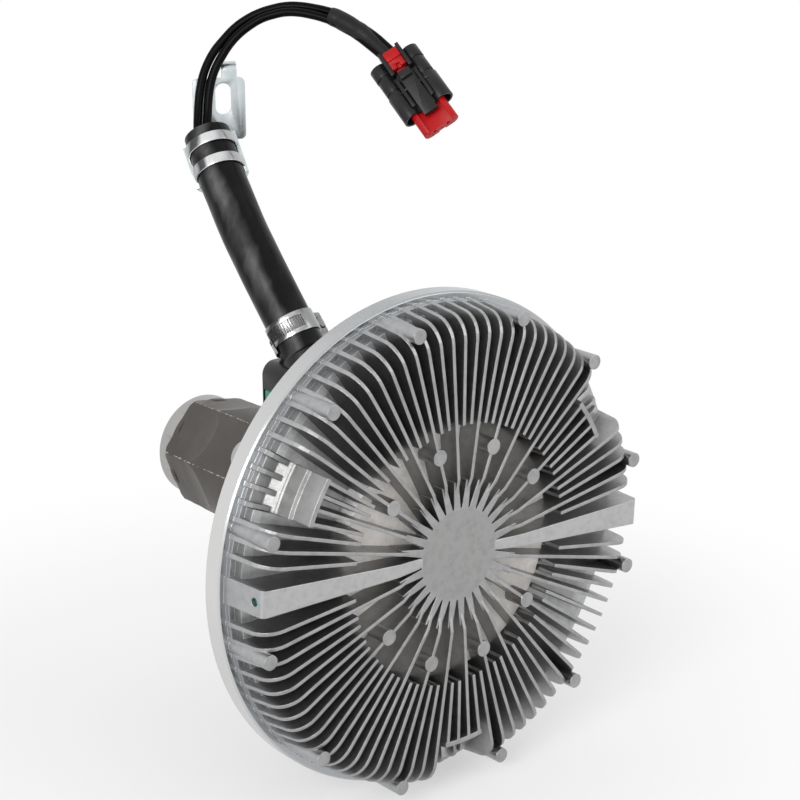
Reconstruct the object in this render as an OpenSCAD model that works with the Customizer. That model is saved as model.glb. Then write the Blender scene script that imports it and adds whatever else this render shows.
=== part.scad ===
// Electronically controlled viscous fan clutch.
// The clutch axis lies along Y: the finned front cover faces -Y, the hex end of the drive shaft
// faces +Y, and the hose of the coil lead stands up along +Z.
// The origin is on the axis, in the rear face of the drive shaft.
// Most modules are drawn with the axis upright: z is then the distance in front of the back face
// of the machined rim, and clock angles are counted clockwise from the top, seen from the front.

/* [Front cover] */
// Diameter of the machined rim
rim_d = 250; // [246:0.5:256]
// Thickness of the machined rim
rim_t = 10.8; // [10.4:0.1:12]
// Edge break of the rim
rim_chamfer = 0.8; // [0.4:0.1:1.2]
// Height of the fin tops above the back face of the rim
fin_top = 38; // [37:0.5:42]
// Depth of the dish inside the short fins, below the fin tops
dish_depth = 11.5; // [10.5:0.5:12]
// Radius where the short fins start
dish_r = 66; // [60:1:72]
// Depth of the channels between the fins, below the fin tops
channel_depth = 17.5; // [16.5:0.5:18]
// Radius of the plain centre disc
disc_r = 23.7; // [20:0.1:26]
// Depth of the centre disc below the fin tops
disc_drop = 2; // [1:0.5:4]
// Radius of the cast wall that the fins stand on
wall_r = 118; // [116:0.5:119]
// Width of the bare rim outside the fins
rim_land = 3; // [2.5:0.5:5]
// Clock angle of one thick rib, the other lies opposite
rib_clock = 93.3; // [80:0.1:100]

/* [Fins] */
// Number of fin places around the cover
fin_count = 90; // [90:1:90]
// Thickness of a fin at its top
fin_t = 1.7; // [1.4:0.1:2]
// Thickness of a fin at its root
fin_root_t = 2.7; // [2.2:0.1:3]
// Radius of the rounded outer corner of a fin
fin_corner = 12; // [8:0.5:14]
// How far a fin leans in from its foot to its corner
fin_lean = 2.2; // [1:0.1:3]
// Width of the two thick ribs at their outer ends
rib_w = 13.6; // [12:0.1:14.5]
// Width of these ribs at the centre disc
rib_in_w = 5; // [4.6:0.1:7]
// Diameter of the ejector bosses at the fin ends
outer_boss_d = 7.5; // [6.5:0.1:8]
// Radius of the circle of outer bosses
outer_boss_r = 118.3; // [117:0.1:119]
// Diameter of the bosses in the dish
inner_boss_d = 8; // [6:0.1:9]
// Radius of the circle of inner bosses
inner_boss_r = 55; // [50:0.5:60]

/* [Chuck notches] */
// Outer radius of the notch wall at the fin tops
notch_r = 100; // [99:0.5:102]
// Thickness of the notch wall at the fin tops
notch_wall = 2.5; // [2:0.1:3.5]
// Height of the fin stubs in a notch above the rim
stub_h = 6.5; // [5:0.5:8]

/* [Rear body] */
// Radius of the flange that nests in the rim
nest_r = 121.3; // [120.5:0.1:121.6]
// Thickness of that flange
nest_t = 5.4; // [5:0.1:6]
// Wall thickness of the rear body behind the lands
body_wall = 4.5; // [4:0.5:6]
// Depth of the rear fins behind the rim
rear_fin_depth = 41; // [38:1:42]
// Radius of the rear fins at their deepest point
rear_fin_r = 88; // [84:1:90]
// Thickness of a rear fin
rear_fin_t = 2; // [1.6:0.1:2.4]
// Diameter of the spigot that centres the fan
fan_pilot_d = 140; // [136:0.5:142]
// Length of the fan spigot past the fan bosses
fan_pilot_l = 4; // [3:0.5:5]
// Bolt circle of the fan
fan_pcd = 165; // [164:0.5:168]
// Number of fan bosses
fan_bolts = 6; // [6:1:6]
// Tapping drill of the fan bolt holes
fan_hole_d = 6.8; // [6.6:0.1:7]
// Depth of the fan bolt holes
fan_hole_l = 20; // [16:1:22]
// Diameter of a fan boss
fan_boss_d = 17; // [15:0.5:18]

/* [Cover screws] */
// Radius of the circle of cover screws
screw_circle_r = 113.5; // [113:0.1:114]
// Tapping drill of the cover screws
screw_tap_d = 4.2; // [4:0.1:4.4]
// Head diameter of the cover screws
screw_head_d = 8.5; // [8:0.1:9]
// Head height of the cover screws
screw_head_h = 5; // [4:0.5:6]
// Length of a cover screw under its head
screw_l = 16; // [14:0.5:16]

/* [Rotor and lands] */
// Radius of the working chamber
chamber_r = 103; // [102.5:0.1:103.5]
// Radius of the first land
land_r = 62; // [61.5:0.1:62]
// Radial distance from one land to the next on the same piece
land_pitch = 5; // [4.8:0.1:5]
// Number of lands on each face
land_count = 8; // [6:1:8]
// Height of the lands
land_h = 8; // [7:0.5:8]
// Radial shear gap between the lands
shear_gap = 0.6; // [0.4:0.05:0.8]
// Axial gap between a land and the floor it faces
tip_gap = 1; // [0.6:0.1:1.2]
// Thickness of the rotor web
web_t = 6; // [5:0.5:6]
// Distance of the rotor web in front of the back face of the rim
web_z = 1; // [0.5:0.1:1.2]

/* [Reservoir and valve] */
// Radius of the fluid reservoir
reservoir_r = 52; // [50:0.5:53]
// Depth of the reservoir in front of its plate
reservoir_h = 9; // [8.5:0.1:9]
// Thickness of the reservoir plate
plate_t = 1.5; // [1.2:0.1:1.6]
// Radius of the reservoir plate
plate_r = 58; // [57.5:0.1:58.5]
// Radius of the valve port in the plate
port_r = 3.5; // [2.5:0.1:4]
// Distance of the valve port from the axis
port_at = 42; // [38:0.5:44]
// Opening angle of the valve arm
valve_open = 3; // [2:0.1:3.2]
// Width of the valve arm
arm_w = 12; // [10:0.5:14]
// Thickness of the valve arm
arm_t = 0.8; // [0.6:0.1:1]
// Distance of the arm pivot below the axis
pivot_at = 24; // [22:0.5:28]
// Diameter of the pivot pin
pivot_d = 2; // [1.8:0.1:2.2]
// Radius of the armature disc
armature_r = 19; // [15:0.5:20]
// Thickness of the armature disc
armature_t = 2.5; // [2:0.1:2.6]
// Radius of the two drilled return passages
passage_r = 2.1; // [1.8:0.1:2.4]
// Depth of the passages below the fin tops
passage_drop = 6; // [5:0.5:7]

/* [Drive shaft] */
// Distance from the back face of the rim to the rear face of the shaft
hub_reach = 186; // [180:1:195]
// Width of the hexagon across its flats
hex_af = 55; // [50:0.5:58]
// Diameter of the centring spigot at the rear end
spigot_d = 44; // [42:0.5:48]
// Length of that spigot
hub_spigot_l = 4.7; // [4:0.1:6]
// Diameter of the turned collar behind the hexagon
collar_d = 56; // [54:0.5:58]
// Length of that collar
collar_l = 9.8; // [8:0.1:12]
// Diameter of the barrel in front of the hexagon
barrel_d = 64; // [63:0.5:68]
// Length of the flats before their run-out
flat_l = 16; // [14:1:24]
// Radius of the run-out of the flats
runout_r = 50; // [40:1:55]
// Diameter of the pilot bore in the rear face
pilot_d = 34; // [32:0.5:36]
// Depth of the pilot bore
pilot_l = 10; // [8:0.5:14]
// Core diameter of the shaft thread
thread_d = 28.4; // [26:0.1:30]
// Length of the shaft thread
thread_l = 38; // [30:1:44]

/* [Bearings] */
// Bore of the main bearing
main_d = 35; // [34:0.5:36]
// Outside diameter of the main bearing
main_od = 65; // [64:0.5:66]
// Width of the main bearing
main_b = 30; // [28:0.5:31]
// Ball diameter of the main bearing
main_ball_d = 9.5; // [9:0.1:9.7]
// Balls in each row of the main bearing
main_balls = 14; // [10:1:14]
// Bore of the coil bearing
coil_brg_d = 50; // [49:0.5:51]
// Outside diameter of the coil bearing
coil_brg_od = 72; // [71:0.5:73]
// Width of the coil bearing
coil_brg_b = 12; // [11:0.5:12.5]
// Ball diameter of the coil bearing
coil_ball_d = 7; // [6.5:0.1:7.2]
// Balls of the coil bearing
coil_balls = 18; // [14:1:20]

/* [Coil] */
// Length of the steel coil cup
cup_l = 24; // [23:0.5:26]
// Outside diameter of the coil cup
cup_od = 112; // [110:1:114]
// Wall of the coil cup
cup_wall = 4; // [3.5:0.1:4]
// Thickness of the black moulding round the cup
mould_t = 4; // [3:0.5:4.5]
// Air gap between the coil cup and the rings that it faces
air_gap = 1.2; // [0.8:0.1:1.5]
// Width of the terminal box
box_w = 34; // [30:1:38]
// Sideways place of the terminal box
box_x = -12; // [-14:0.5:-8]
// Height of the top of the terminal box above the axis
box_top = 76; // [74:0.5:80]
// Length of the terminal box along the axis
box_l = 22; // [20:0.5:26]

/* [Hose] */
// Outside diameter of the hose
hose_od = 24.4; // [23:0.2:25]
// Wall of the hose
hose_wall = 3.5; // [3:0.1:4]
// Depth of the bush below the end of the hose
bush_drop = 2; // [1:0.5:4]
// Length of the spigot inside the hose
spigot_l = 22; // [20:1:26]
// Distance of the clamp from the foot of the hose
clamp_at = 14; // [11:0.5:16]
// Width of the clamp band
clamp_w = 11; // [10:0.5:13]
// Thickness of the clamp band
clamp_t = 0.8; // [0.6:0.1:1]

/* [Bracket] */
// Width of the bracket plate
plate_w = 27.5; // [25:0.5:30]
// Height of the bracket plate
plate_h = 32.5; // [30:0.5:36]
// Thickness of the bracket sheet
sheet_t = 2; // [1.5:0.1:2.5]
// Width of the slot in the bracket
slot_w = 8.3; // [7:0.1:9]
// Length of the slot in the bracket
slot_l = 16.6; // [15:0.1:19]
// Width of each strap round the hose
strap_w = 5.6; // [5:0.1:7]
// Distance between the two straps, centre to centre
strap_pitch = 12.9; // [11:0.1:14]

/* [Cable and connector] */
// Diameter of each cable conduit
conduit_d = 4.6; // [4:0.1:5]
// Diameter of the shrink sleeve
sleeve_d = 9.8; // [9.6:0.1:10.4]
// Width across the two barrels of the connector
plug_w = 28; // [26.5:0.5:30]
// Diameter of a connector barrel
barrel_w = 10; // [9:0.5:10.5]
// Length of the connector housing
plug_l = 34.6; // [33:0.2:37]
// How far the red nose stands out of the housing
nose_out = 12; // [10:0.5:13]
// Width of the nose
nose_w = 20; // [18:0.5:20.5]
// Width of the latch tongue
latch_w = 7.6; // [6:0.2:8]
// Travel of the latch lock
lock_travel = 3; // [2:0.1:3.2]
// Travel of the nose into the housing
nose_travel = 2.5; // [1.5:0.1:2.8]

/* [Fits] */
// Clearance of a piece that is pressed or clamped in its seat
press_fit = 0.02; // [0.01:0.01:0.03]
// Clearance of a running or rolling fit
run_fit = 0.05; // [0.02:0.01:0.08]
// Clearance of a loose or sliding fit
loose_fit = 0.2; // [0.1:0.05:0.3]

/* [Hidden] */
$fn = 96;

pitch = 360 / fin_count;
rim_r = rim_d / 2;
fin_foot_r = rim_r - rim_land;
fin_tip_r = fin_foot_r - fin_lean;
dish_z = fin_top - dish_depth;
channel_z = fin_top - channel_depth;
disc_z = fin_top - disc_drop;
step_z = rim_t + 2.7;
step_r = fin_foot_r - 1;
root_z = rim_t - 2;
rib_places = [0, fin_count / 2];
long_every = 3;
long_from = disc_r + 6;
flare_r = disc_r + 14;
outer_bosses = [14, 46, 74, 106, 134, 166];
inner_bosses = [36, 72, 108, 144];
notch_places = [21.5, 51.5, 81.5];
notch_half = 1.5 * pitch + 0.85;

web_front = web_z + web_t;
cover_floor = web_front + land_h + tip_gap;
body_floor = web_z - land_h - tip_gap;
land_w = land_pitch / 2 - shear_gap;
rotor_r = chamber_r - shear_gap;
plate_front = dish_z - 4 - reservoir_h;
plate_back = plate_front - plate_t;
skirt_r = nest_r + 0.1;
seal_r = chamber_r + 4;
seal_d = 2;
rotor_seat_r = main_d / 2 - 2.5;
hub_back = web_z - 4;
nut_r = 21;
shaft_front = plate_back - 1.6;
seal_bore_r = main_od / 2 - 2.5;
seal_front = body_floor;
main_front = body_floor - 6;
main_back = main_front - main_b;
boss_r = main_od / 2 + 8.5;
boss_back = main_back - 4;
sleeve_r = main_d / 2 + 3.5;
main_pitch_r = (main_d + main_od) / 4;
coil_pitch_r = (coil_brg_d + coil_brg_od) / 4;
pilot_r = fan_pilot_d / 2;
pilot_wall = 6;
fan_face = -(rear_fin_depth + 2);
pocket_back = body_floor - 8;
body_skin = body_floor - body_wall;
pole_r = boss_r + 6;
ring_back = boss_back - 0.8;
cup_front = ring_back - air_gap;
cup_back = cup_front - cup_l;
cup_r = cup_od / 2;
mould_r = cup_r + mould_t;
coil_brg_front = cup_front - 4;
coil_brg_back = coil_brg_front - coil_brg_b;
coil_journal_r = coil_brg_d / 2;
coil_lip_r = coil_brg_od / 2 - 3;
clip_t = 1.75;
neck_r = coil_journal_r + 4;
barrel_r = barrel_d / 2;
corner_r = hex_af / 2 + 4;
barrel_front = cup_back - 12;
flat_back = hub_spigot_l + collar_l - hub_reach;
collar_back = hub_spigot_l - hub_reach;
moulding_back = cup_back - 4;
main_rows = [main_front - main_b * 0.26, main_back + main_b * 0.26];
coil_rows = [(coil_brg_front + coil_brg_back) / 2];
main_gap_r = 1.1;
coil_gap_r = 1.2;
bobbin_in = coil_brg_od / 2 + cup_wall + loose_fit;
bobbin_out = cup_r - cup_wall - loose_fit;
tooth_w = 5;
tooth_l = 5;
tooth_t = 2;
speed_hub_l = 8;

socket_r = 2.4;
socket_h = 2.6;
plug_pin_l = 5;
pivot_z = plate_front + 2.4;
pole_ring_r = nut_r + 14;
plate_screw_at = (reservoir_r + plate_r) / 2 + 0.6;
plate_screw_r = 1.25;
plate_screw_l = 5.5;
plate_head_r = 2.6;
plate_head_h = 1.6;

bush_l = 7;
worm_r = 2.9;
barrel_x = (plug_w - barrel_w) / 2;
mouth_z = plug_l - 15;
core_y = 3.2;
guard_in = 4.3;
lock_z = 8.6;
latch_z = 21;
latch_y = 5.6;
terminal_r = 0.8;

hose_r = hose_od / 2;
hose_bore_r = hose_r - hose_wall;
lead_r = 5;
box_back = moulding_back - 4;
foot_z = box_back + box_l - 8;

// Points of the hose axis, of the two conduits and of the sleeve, from the foot of the hose
lead_at = [box_x, -hub_reach - foot_z, box_top + 4];
hose_path = [
    [0, 0, 0], [-1.5, 18, 22], [-2, 24.5, 30], [-2.5, 31, 38], [-2.5, 38, 46],
    [-2.5, 45, 54], [-2, 52, 62], [-1, 60, 71], [0, 68.5, 80.5], [3.5, 85, 99]
];
left_path = [
    [-1, 84.5, 96], [-0.5, 87.5, 99.5], [1, 89.5, 103], [3, 91.5, 108.5], [5, 93.5, 115], [7, 94.5, 121.5],
    [9.5, 95, 128], [12.5, 95, 133.5], [16.5, 94.5, 139.5], [21.5, 92.5, 145], [26.5, 90.5, 150.5],
    [32, 87, 155], [37.5, 82.5, 158.5], [43, 78, 160.5], [48, 73, 162], [52.5, 67.5, 162], [57, 61.5, 161],
    [60.5, 55.5, 160], [64.5, 48.5, 158], [67, 42, 155], [69.5, 36, 152], [71.5, 29, 148.5],
    [73, 22, 144], [74.5, 15, 139.5]
];
right_path = [
    [2.5, 82, 97], [3, 84, 99.5], [4.5, 86, 103], [7, 88.5, 108.5], [8.5, 90, 114.5], [10.5, 91, 121],
    [12.5, 91.5, 126.5], [15, 91, 132], [18.5, 90, 137.5], [22, 88.5, 143], [26, 86, 148],
    [31, 82.5, 152.5], [35.5, 79, 156], [40.5, 74.5, 158], [45, 70, 159.5], [49, 64.5, 159.5], [53, 59.5, 158.5],
    [57, 53.5, 157], [60.5, 48, 155], [63, 42, 152], [65.5, 36.5, 149], [67.5, 30, 145],
    [69.5, 23.5, 141], [70.5, 17, 137]
];
sleeve_path = [[60, 52, 158], [62.5, 48.5, 156.5], [65, 42, 153.5], [67.5, 36, 150.5], [69, 31, 147.5]];
plug_at = [72.5, 16, 138];
plug_turn = [137, -31.5, -28];

// Clock directions about the hose, in the frames of its foot and its head
slots_from = -95;
slots_to = -215;
worm_turn = 25;
cradle_turn = 46;
cradle_sweep = 170;
strap_mid = -15;
plate_turn = -28;
plate_behind = 14;
plate_shift = [8.8, 9.9];
slot_shift = [2.2, 5.2];

function arc(cx, cy, r, a0, a1, n) =
    [for (i = [0:n]) let (a = a0 + (a1 - a0) * i / n) [cx + r * cos(a), cy + r * sin(a)]];
function is_rib(k) = min([for (p = rib_places) abs((k - p + fin_count / 2) % fin_count - fin_count / 2)]) < 1.5;
function in_notch(k) = min([for (p = notch_places) abs(k - p)]) < 2;
function is_long(k) = k % long_every == 0;

// Frames
module on_axis() {
    translate([0, -hub_reach, 0]) rotate([90, 0, 0]) children();
}

module at_clock(deg) {
    rotate([0, 0, -deg]) children();
}

module at_fin(k) {
    at_clock(rib_clock + k * pitch) children();
}

// General shapes
module ring(r_out, r_in, z0, z1) {
    rotate_extrude() translate([r_in, z0]) square([r_out - r_in, z1 - z0]);
}

// A plate of thickness t that stands on a radius, from points (radius, z)
module radial_plate(t, pts) {
    rotate([90, 0, 90]) translate([0, 0, -t / 2]) linear_extrude(t) polygon(pts);
}

// A bar along a radius whose sides draw in from z0 to z1
module drafted_bar(r0, r1, z0, z1, root_t, top_t) {
    translate([0, r1, 0]) rotate([90, 0, 0]) linear_extrude(r1 - r0)
        polygon([[-root_t / 2, z0], [root_t / 2, z0], [top_t / 2, z1], [-top_t / 2, z1]]);
}

module rounded_rect(w, h, r) {
    union() {
        square([w - 2 * r, h], center = true);
        square([w, h - 2 * r], center = true);
        for (x = [-1, 1], y = [-1, 1]) translate([x * (w / 2 - r), y * (h / 2 - r)]) circle(r);
    }
}

// Front cover: finned casting
function fin_profile(r0, corner) = concat(
    r0 < dish_r ? [[r0, dish_z - 2], [dish_r - 2, dish_z - 2], [dish_r + 3, channel_z - 1.5]] : [[r0, channel_z - 1.5]],
    [[wall_r - 7, channel_z - 1.5], [wall_r - 3, root_z], [fin_foot_r, root_z]],
    arc(fin_tip_r - corner, fin_top - corner, corner, 12, 90, 6),
    r0 < dish_r ? [[flare_r + 1.5, fin_top], [r0, disc_z - 0.6]] : [[r0, fin_top]]
);

module fin(r0, root_t, top_t, corner) {
    intersection() {
        drafted_bar(r0 - 1, fin_foot_r + 1, root_z - 1, fin_top + 1, root_t, top_t);
        radial_plate(rib_w + 4, fin_profile(r0, corner));
    }
}

module rib() {
    intersection() {
        translate([0, 0, root_z - 1]) linear_extrude(fin_top + 2 - root_z) polygon([
            [-rib_in_w / 2, disc_r - 2], [-rib_w / 2, fin_foot_r + 1], [rib_w / 2, fin_foot_r + 1], [rib_in_w / 2, disc_r - 2]
        ]);
        radial_plate(rib_w + 4, fin_profile(disc_r - 1, 3));
    }
}

module cover_shell() {
    rotate_extrude() polygon(concat(
        [[0, plate_front + reservoir_h], [reservoir_r, plate_front + reservoir_h], [reservoir_r, plate_front]],
        [[plate_r + 0.4, plate_front], [plate_r + 0.4, cover_floor]],
        [for (i = [0:land_count - 1]) let (r = land_r + i * land_pitch)
            each [[r, cover_floor], [r, cover_floor - land_h], [r + land_w, cover_floor - land_h], [r + land_w, cover_floor]]],
        [[chamber_r, cover_floor], [chamber_r, nest_t], [skirt_r, nest_t], [skirt_r, 0]],
        [[rim_r - rim_chamfer, 0], [rim_r, rim_chamfer], [rim_r, rim_t - rim_chamfer], [rim_r - rim_chamfer, rim_t]],
        [[step_r, rim_t], [step_r, step_z], [wall_r, step_z], [wall_r, channel_z - 2], [wall_r - 4, channel_z - 0.5]],
        [[dish_r + 4, channel_z], [dish_r - 1, dish_z], [0, dish_z]]
    ));
}

// The disc in the middle, with a flared foot for every long fin
module centre_star() {
    foot = atan((fin_root_t / 2) / flare_r);
    translate([0, 0, dish_z - 2]) linear_extrude(disc_z - dish_z + 2)
        polygon([for (k = [0:long_every:fin_count - 1]) let (a = 90 - k * pitch) each [
            [disc_r * cos(a + 5), disc_r * sin(a + 5)],
            [flare_r * cos(a + foot), flare_r * sin(a + foot)],
            [flare_r * cos(a - foot), flare_r * sin(a - foot)],
            [disc_r * cos(a - 5), disc_r * sin(a - 5)]
        ]]);
}

// Solid between two fins from an outer boss to the fin ends, and the boss itself
module outer_boss() {
    translate([0, outer_boss_r, root_z]) cylinder(d = outer_boss_d, h = fin_top + 0.6 - root_z);
    intersection() {
        translate([-3.6, outer_boss_r - fin_corner, 0]) cube([7.2, 2 * fin_corner, fin_top + 2]);
        radial_plate(9, concat(
            [[outer_boss_r - 2.4, root_z], [fin_foot_r - 0.3, root_z]],
            arc(fin_tip_r - fin_corner - 0.5, fin_top - fin_corner - 0.7, fin_corner, 14, 76, 5),
            [[outer_boss_r - 2.4, fin_top - 1.6]]
        ));
    }
}

module notch_cut() {
    floor_z = step_z + 0.4;
    rotate([0, 0, 90 - notch_half + 0.15]) rotate_extrude(angle = 2 * notch_half - 0.3)
        polygon([[chamber_r + 1, floor_z], [rim_r + 5, floor_z], [rim_r + 5, fin_top + 5], [chamber_r + 1, fin_top + 5]]);
}

// Drafted wall that closes the fins off in a notch, with a step at half its height
module notch_wall_piece() {
    rotate([0, 0, 90 - notch_half]) rotate_extrude(angle = 2 * notch_half) polygon([
        [notch_r - notch_wall, channel_z - 2], [notch_r - notch_wall, fin_top], [notch_r, fin_top],
        [notch_r + 1.6, fin_top - 10.5], [notch_r + 3.4, fin_top - 11.5], [notch_r + 5, step_z + 6],
        [notch_r + 10, step_z + 0.6], [notch_r + 10, root_z], [notch_r + 6, root_z], [notch_r + 6, channel_z - 2]
    ]);
}

module notch_stub() {
    intersection() {
        drafted_bar(notch_r + 4, fin_foot_r + 1, root_z - 1, fin_top, fin_root_t, fin_t);
        radial_plate(6, [
            [notch_r + 4.5, root_z], [fin_foot_r, root_z], [fin_foot_r - 0.6, rim_t + stub_h * 0.7],
            [fin_foot_r - 4, rim_t + stub_h], [notch_r + 4.5, rim_t + stub_h]
        ]);
    }
}

module front_cover() color([0.72, 0.73, 0.74]) on_axis() {
    difference() {
        union() {
            difference() {
                cover_shell();
                for (p = notch_places) at_fin(p) notch_cut();
            }
            at_clock(rib_clock) centre_star();
            for (k = [0:fin_count - 1]) if (!is_rib(k) && !in_notch(k))
                at_fin(k) fin(is_long(k) ? long_from : dish_r, fin_root_t, fin_t, fin_corner);
            for (p = rib_places) at_fin(p) rib();
            for (p = notch_places) at_fin(p) notch_wall_piece();
            for (p = notch_places, d = [-1.5:1:1.5]) at_fin(p + d) {
                intersection() {
                    fin(is_long(p + d) ? long_from : dish_r, fin_root_t, fin_t, fin_corner);
                    ring(notch_r - 0.6, 1, 0, fin_top + 5);
                }
                notch_stub();
            }
            for (a = outer_bosses, s = [-1, 1]) at_clock(rib_clock + s * a) outer_boss();
            for (a = inner_bosses, s = [-1, 1]) at_clock(rib_clock + s * a)
                translate([0, inner_boss_r, dish_z - 1]) cylinder(d = inner_boss_d, h = fin_top + 0.5 - dish_z + 1);
        }
        cover_holes();
    }
}

// Tapped holes for the cover and plate screws, and the two drilled return passages
module cover_holes() {
    for (a = outer_bosses, s = [-1, 1]) at_clock(rib_clock + s * a)
        translate([0, screw_circle_r, nest_t - 1]) cylinder(d = screw_tap_d, h = screw_l - nest_t + 2);
    for (i = [0:5]) at_clock(rib_clock + 30 + i * 60)
        translate([0, plate_screw_at, plate_front - 1]) cylinder(r = plate_screw_r, h = plate_screw_l + plate_t);
    for (p = rib_places) at_fin(p) {
        translate([0, rim_r, fin_top - passage_drop]) rotate([90, 0, 0]) cylinder(r = passage_r, h = rim_r - reservoir_r + 4);
        translate([0, reservoir_r - 3, plate_front + 1]) cylinder(r = passage_r, h = fin_top - passage_drop - plate_front - 1);
        translate([0, chamber_r - 3.2, cover_floor - 1]) cylinder(r = passage_r - 0.3, h = fin_top - passage_drop - cover_floor + 1);
    }
}

// Balls and plugs that close the drilled passages in the rib ends
module passage_plugs() color([0.05, 0.45, 0.32]) on_axis() {
    for (p = rib_places) at_fin(p)
        translate([0, fin_foot_r - 3.6, fin_top - passage_drop]) rotate([90, 0, 0])
            cylinder(r = passage_r - press_fit, h = plug_pin_l);
}

// Rear body: finned casting that carries the fan and runs on the main bearing
module body_shell() {
    rotate_extrude() polygon(concat(
        [[seal_bore_r, body_floor], [land_r - 2, body_floor]],
        [for (i = [0:land_count - 1]) let (r = land_r + i * land_pitch)
            each [[r, body_floor], [r, body_floor + land_h], [r + land_w, body_floor + land_h], [r + land_w, body_floor]]],
        [[chamber_r, body_floor], [chamber_r, nest_t]],
        [[seal_r - seal_d * 0.7, nest_t], [seal_r - seal_d * 0.7, nest_t - seal_d], [seal_r + seal_d * 0.7, nest_t - seal_d], [seal_r + seal_d * 0.7, nest_t]],
        [[nest_r, nest_t], [nest_r, 0], [chamber_r + 5.5, 0], [chamber_r + 4.5, -3], [chamber_r + 2, body_skin]],
        [[pilot_r - 1.2, body_skin - 2], [pilot_r - 1.2, fan_face], [pilot_r, fan_face]],
        [[pilot_r, fan_face - fan_pilot_l + 1], [pilot_r - 1, fan_face - fan_pilot_l]],
        [[pilot_r - pilot_wall, fan_face - fan_pilot_l], [pilot_r - pilot_wall, pocket_back]],
        [[boss_r, pocket_back], [boss_r, boss_back], [main_od / 2, boss_back]],
        [[main_od / 2, main_back - clip_t - 0.1], [main_od / 2 + 1.6, main_back - clip_t - 0.1], [main_od / 2 + 1.6, main_back], [main_od / 2, main_back]],
        [[main_od / 2, main_front], [seal_bore_r, main_front]]
    ));
}

module rear_fin() {
    radial_plate(rear_fin_t, [
        [pilot_r - 2, body_skin + 2], [chamber_r + 0.5, body_skin + 2], [chamber_r + 5, 1],
        [nest_r - 0.4, 1], [nest_r - 0.4, -4], [rear_fin_r, -rear_fin_depth + 2],
        [rear_fin_r - 3, -rear_fin_depth], [pilot_r - 2, -rear_fin_depth]
    ]);
}

module rear_body() color([0.66, 0.67, 0.68]) on_axis() {
    difference() {
        union() {
            body_shell();
            for (k = [0:fin_count - 1]) at_fin(k) rear_fin();
            for (i = [0:fan_bolts - 1]) at_clock(rib_clock + 30 + i * 360 / fan_bolts)
                translate([0, fan_pcd / 2, fan_face]) cylinder(d = fan_boss_d, h = body_floor - fan_face - 1);
        }
        for (i = [0:fan_bolts - 1]) at_clock(rib_clock + 30 + i * 360 / fan_bolts)
            translate([0, fan_pcd / 2, fan_face - 1]) cylinder(d = fan_hole_d, h = fan_hole_l + 1);
        for (a = outer_bosses, s = [-1, 1]) at_clock(rib_clock + s * a) translate([0, screw_circle_r, 0]) {
            translate([0, 0, -rear_fin_depth]) cylinder(d = screw_head_d + 1.6, h = rear_fin_depth);
            translate([0, 0, -1]) cylinder(d = screw_tap_d + 1, h = nest_t + 2);
        }
    }
}

module cover_seal() color([0.1, 0.1, 0.1]) on_axis() {
    rotate_extrude() translate([seal_r, nest_t - seal_d / 2]) circle(d = seal_d - 0.04);
}

// Cap screws from the rear body into the cover, drawn at the root of their thread
module cover_screws() color([0.35, 0.35, 0.37]) on_axis() {
    for (a = outer_bosses, s = [-1, 1]) at_clock(rib_clock + s * a) translate([0, screw_circle_r, 0]) {
        difference() {
            translate([0, 0, -screw_head_h]) cylinder(d = screw_head_d, h = screw_head_h);
            translate([0, 0, -screw_head_h - 1]) cylinder(r = socket_r, h = socket_h + 1, $fn = 6);
        }
        translate([0, 0, -0.5]) cylinder(d = screw_tap_d - 0.06, h = screw_l + 0.5);
    }
}

// Reservoir plate with the valve port and the two ears of the arm pivot
module reservoir_plate() color([0.62, 0.62, 0.6]) on_axis() {
    difference() {
        union() {
            ring(plate_r, 0, plate_back, plate_front);
            for (s = [-1, 1]) translate([s * (arm_w / 2 + 1.2) - 0.75, -pivot_at - 3, plate_front - 0.5])
                cube([1.5, 6, pivot_z - plate_front + 2.5]);
        }
        translate([0, port_at, plate_back - 1]) cylinder(r = port_r, h = plate_t + 2);
        for (i = [0:5]) at_clock(rib_clock + 30 + i * 60)
            translate([0, plate_screw_at, plate_back - 1]) cylinder(r = plate_screw_r + 0.3, h = plate_t + 2);
        translate([-arm_w, -pivot_at, pivot_z]) rotate([0, 90, 0]) cylinder(d = pivot_d, h = 2 * arm_w);
    }
}

module plate_screws() color([0.4, 0.4, 0.42]) on_axis() {
    for (i = [0:5]) at_clock(rib_clock + 30 + i * 60) translate([0, plate_screw_at, 0]) {
        translate([0, 0, plate_back - plate_head_h]) cylinder(r = plate_head_r, h = plate_head_h);
        translate([0, 0, plate_back - 0.5]) cylinder(r = plate_screw_r - press_fit, h = plate_screw_l + 0.5);
    }
}

module pivot_pin() color([0.6, 0.6, 0.62]) on_axis() {
    translate([-arm_w / 2 - 2.6, -pivot_at, pivot_z]) rotate([0, 90, 0])
        cylinder(d = pivot_d - 2 * press_fit, h = arm_w + 5.2);
}

// The arm swings about the pivot and is drawn open
module on_arm() {
    translate([0, -pivot_at, pivot_z]) rotate([valve_open, 0, 0]) children();
}

module valve_arm() color([0.55, 0.56, 0.58]) on_axis() on_arm() {
    difference() {
        union() {
            translate([-arm_w / 2, 0, -pivot_d / 2 - arm_t]) cube([arm_w, pivot_at + port_at + 3, arm_t]);
            rotate([0, 90, 0]) cylinder(d = pivot_d + 2 * arm_t, h = arm_w, center = true);
        }
        rotate([0, 90, 0]) cylinder(d = pivot_d + 2 * run_fit, h = arm_w + 2, center = true);
        cube([5, pivot_d + 8, pivot_d + 8], center = true);
    }
}

module valve_pad() color([0.15, 0.15, 0.15]) on_axis() on_arm() {
    translate([0, pivot_at + port_at, plate_front - pivot_z + 0.1])
        cylinder(r = port_r + 1.3, h = pivot_z - plate_front - pivot_d / 2 - arm_t - 0.1);
}

module armature() color([0.45, 0.45, 0.46]) on_axis() on_arm() {
    translate([0, pivot_at, -pivot_d / 2]) cylinder(r = armature_r, h = armature_t);
}

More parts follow.
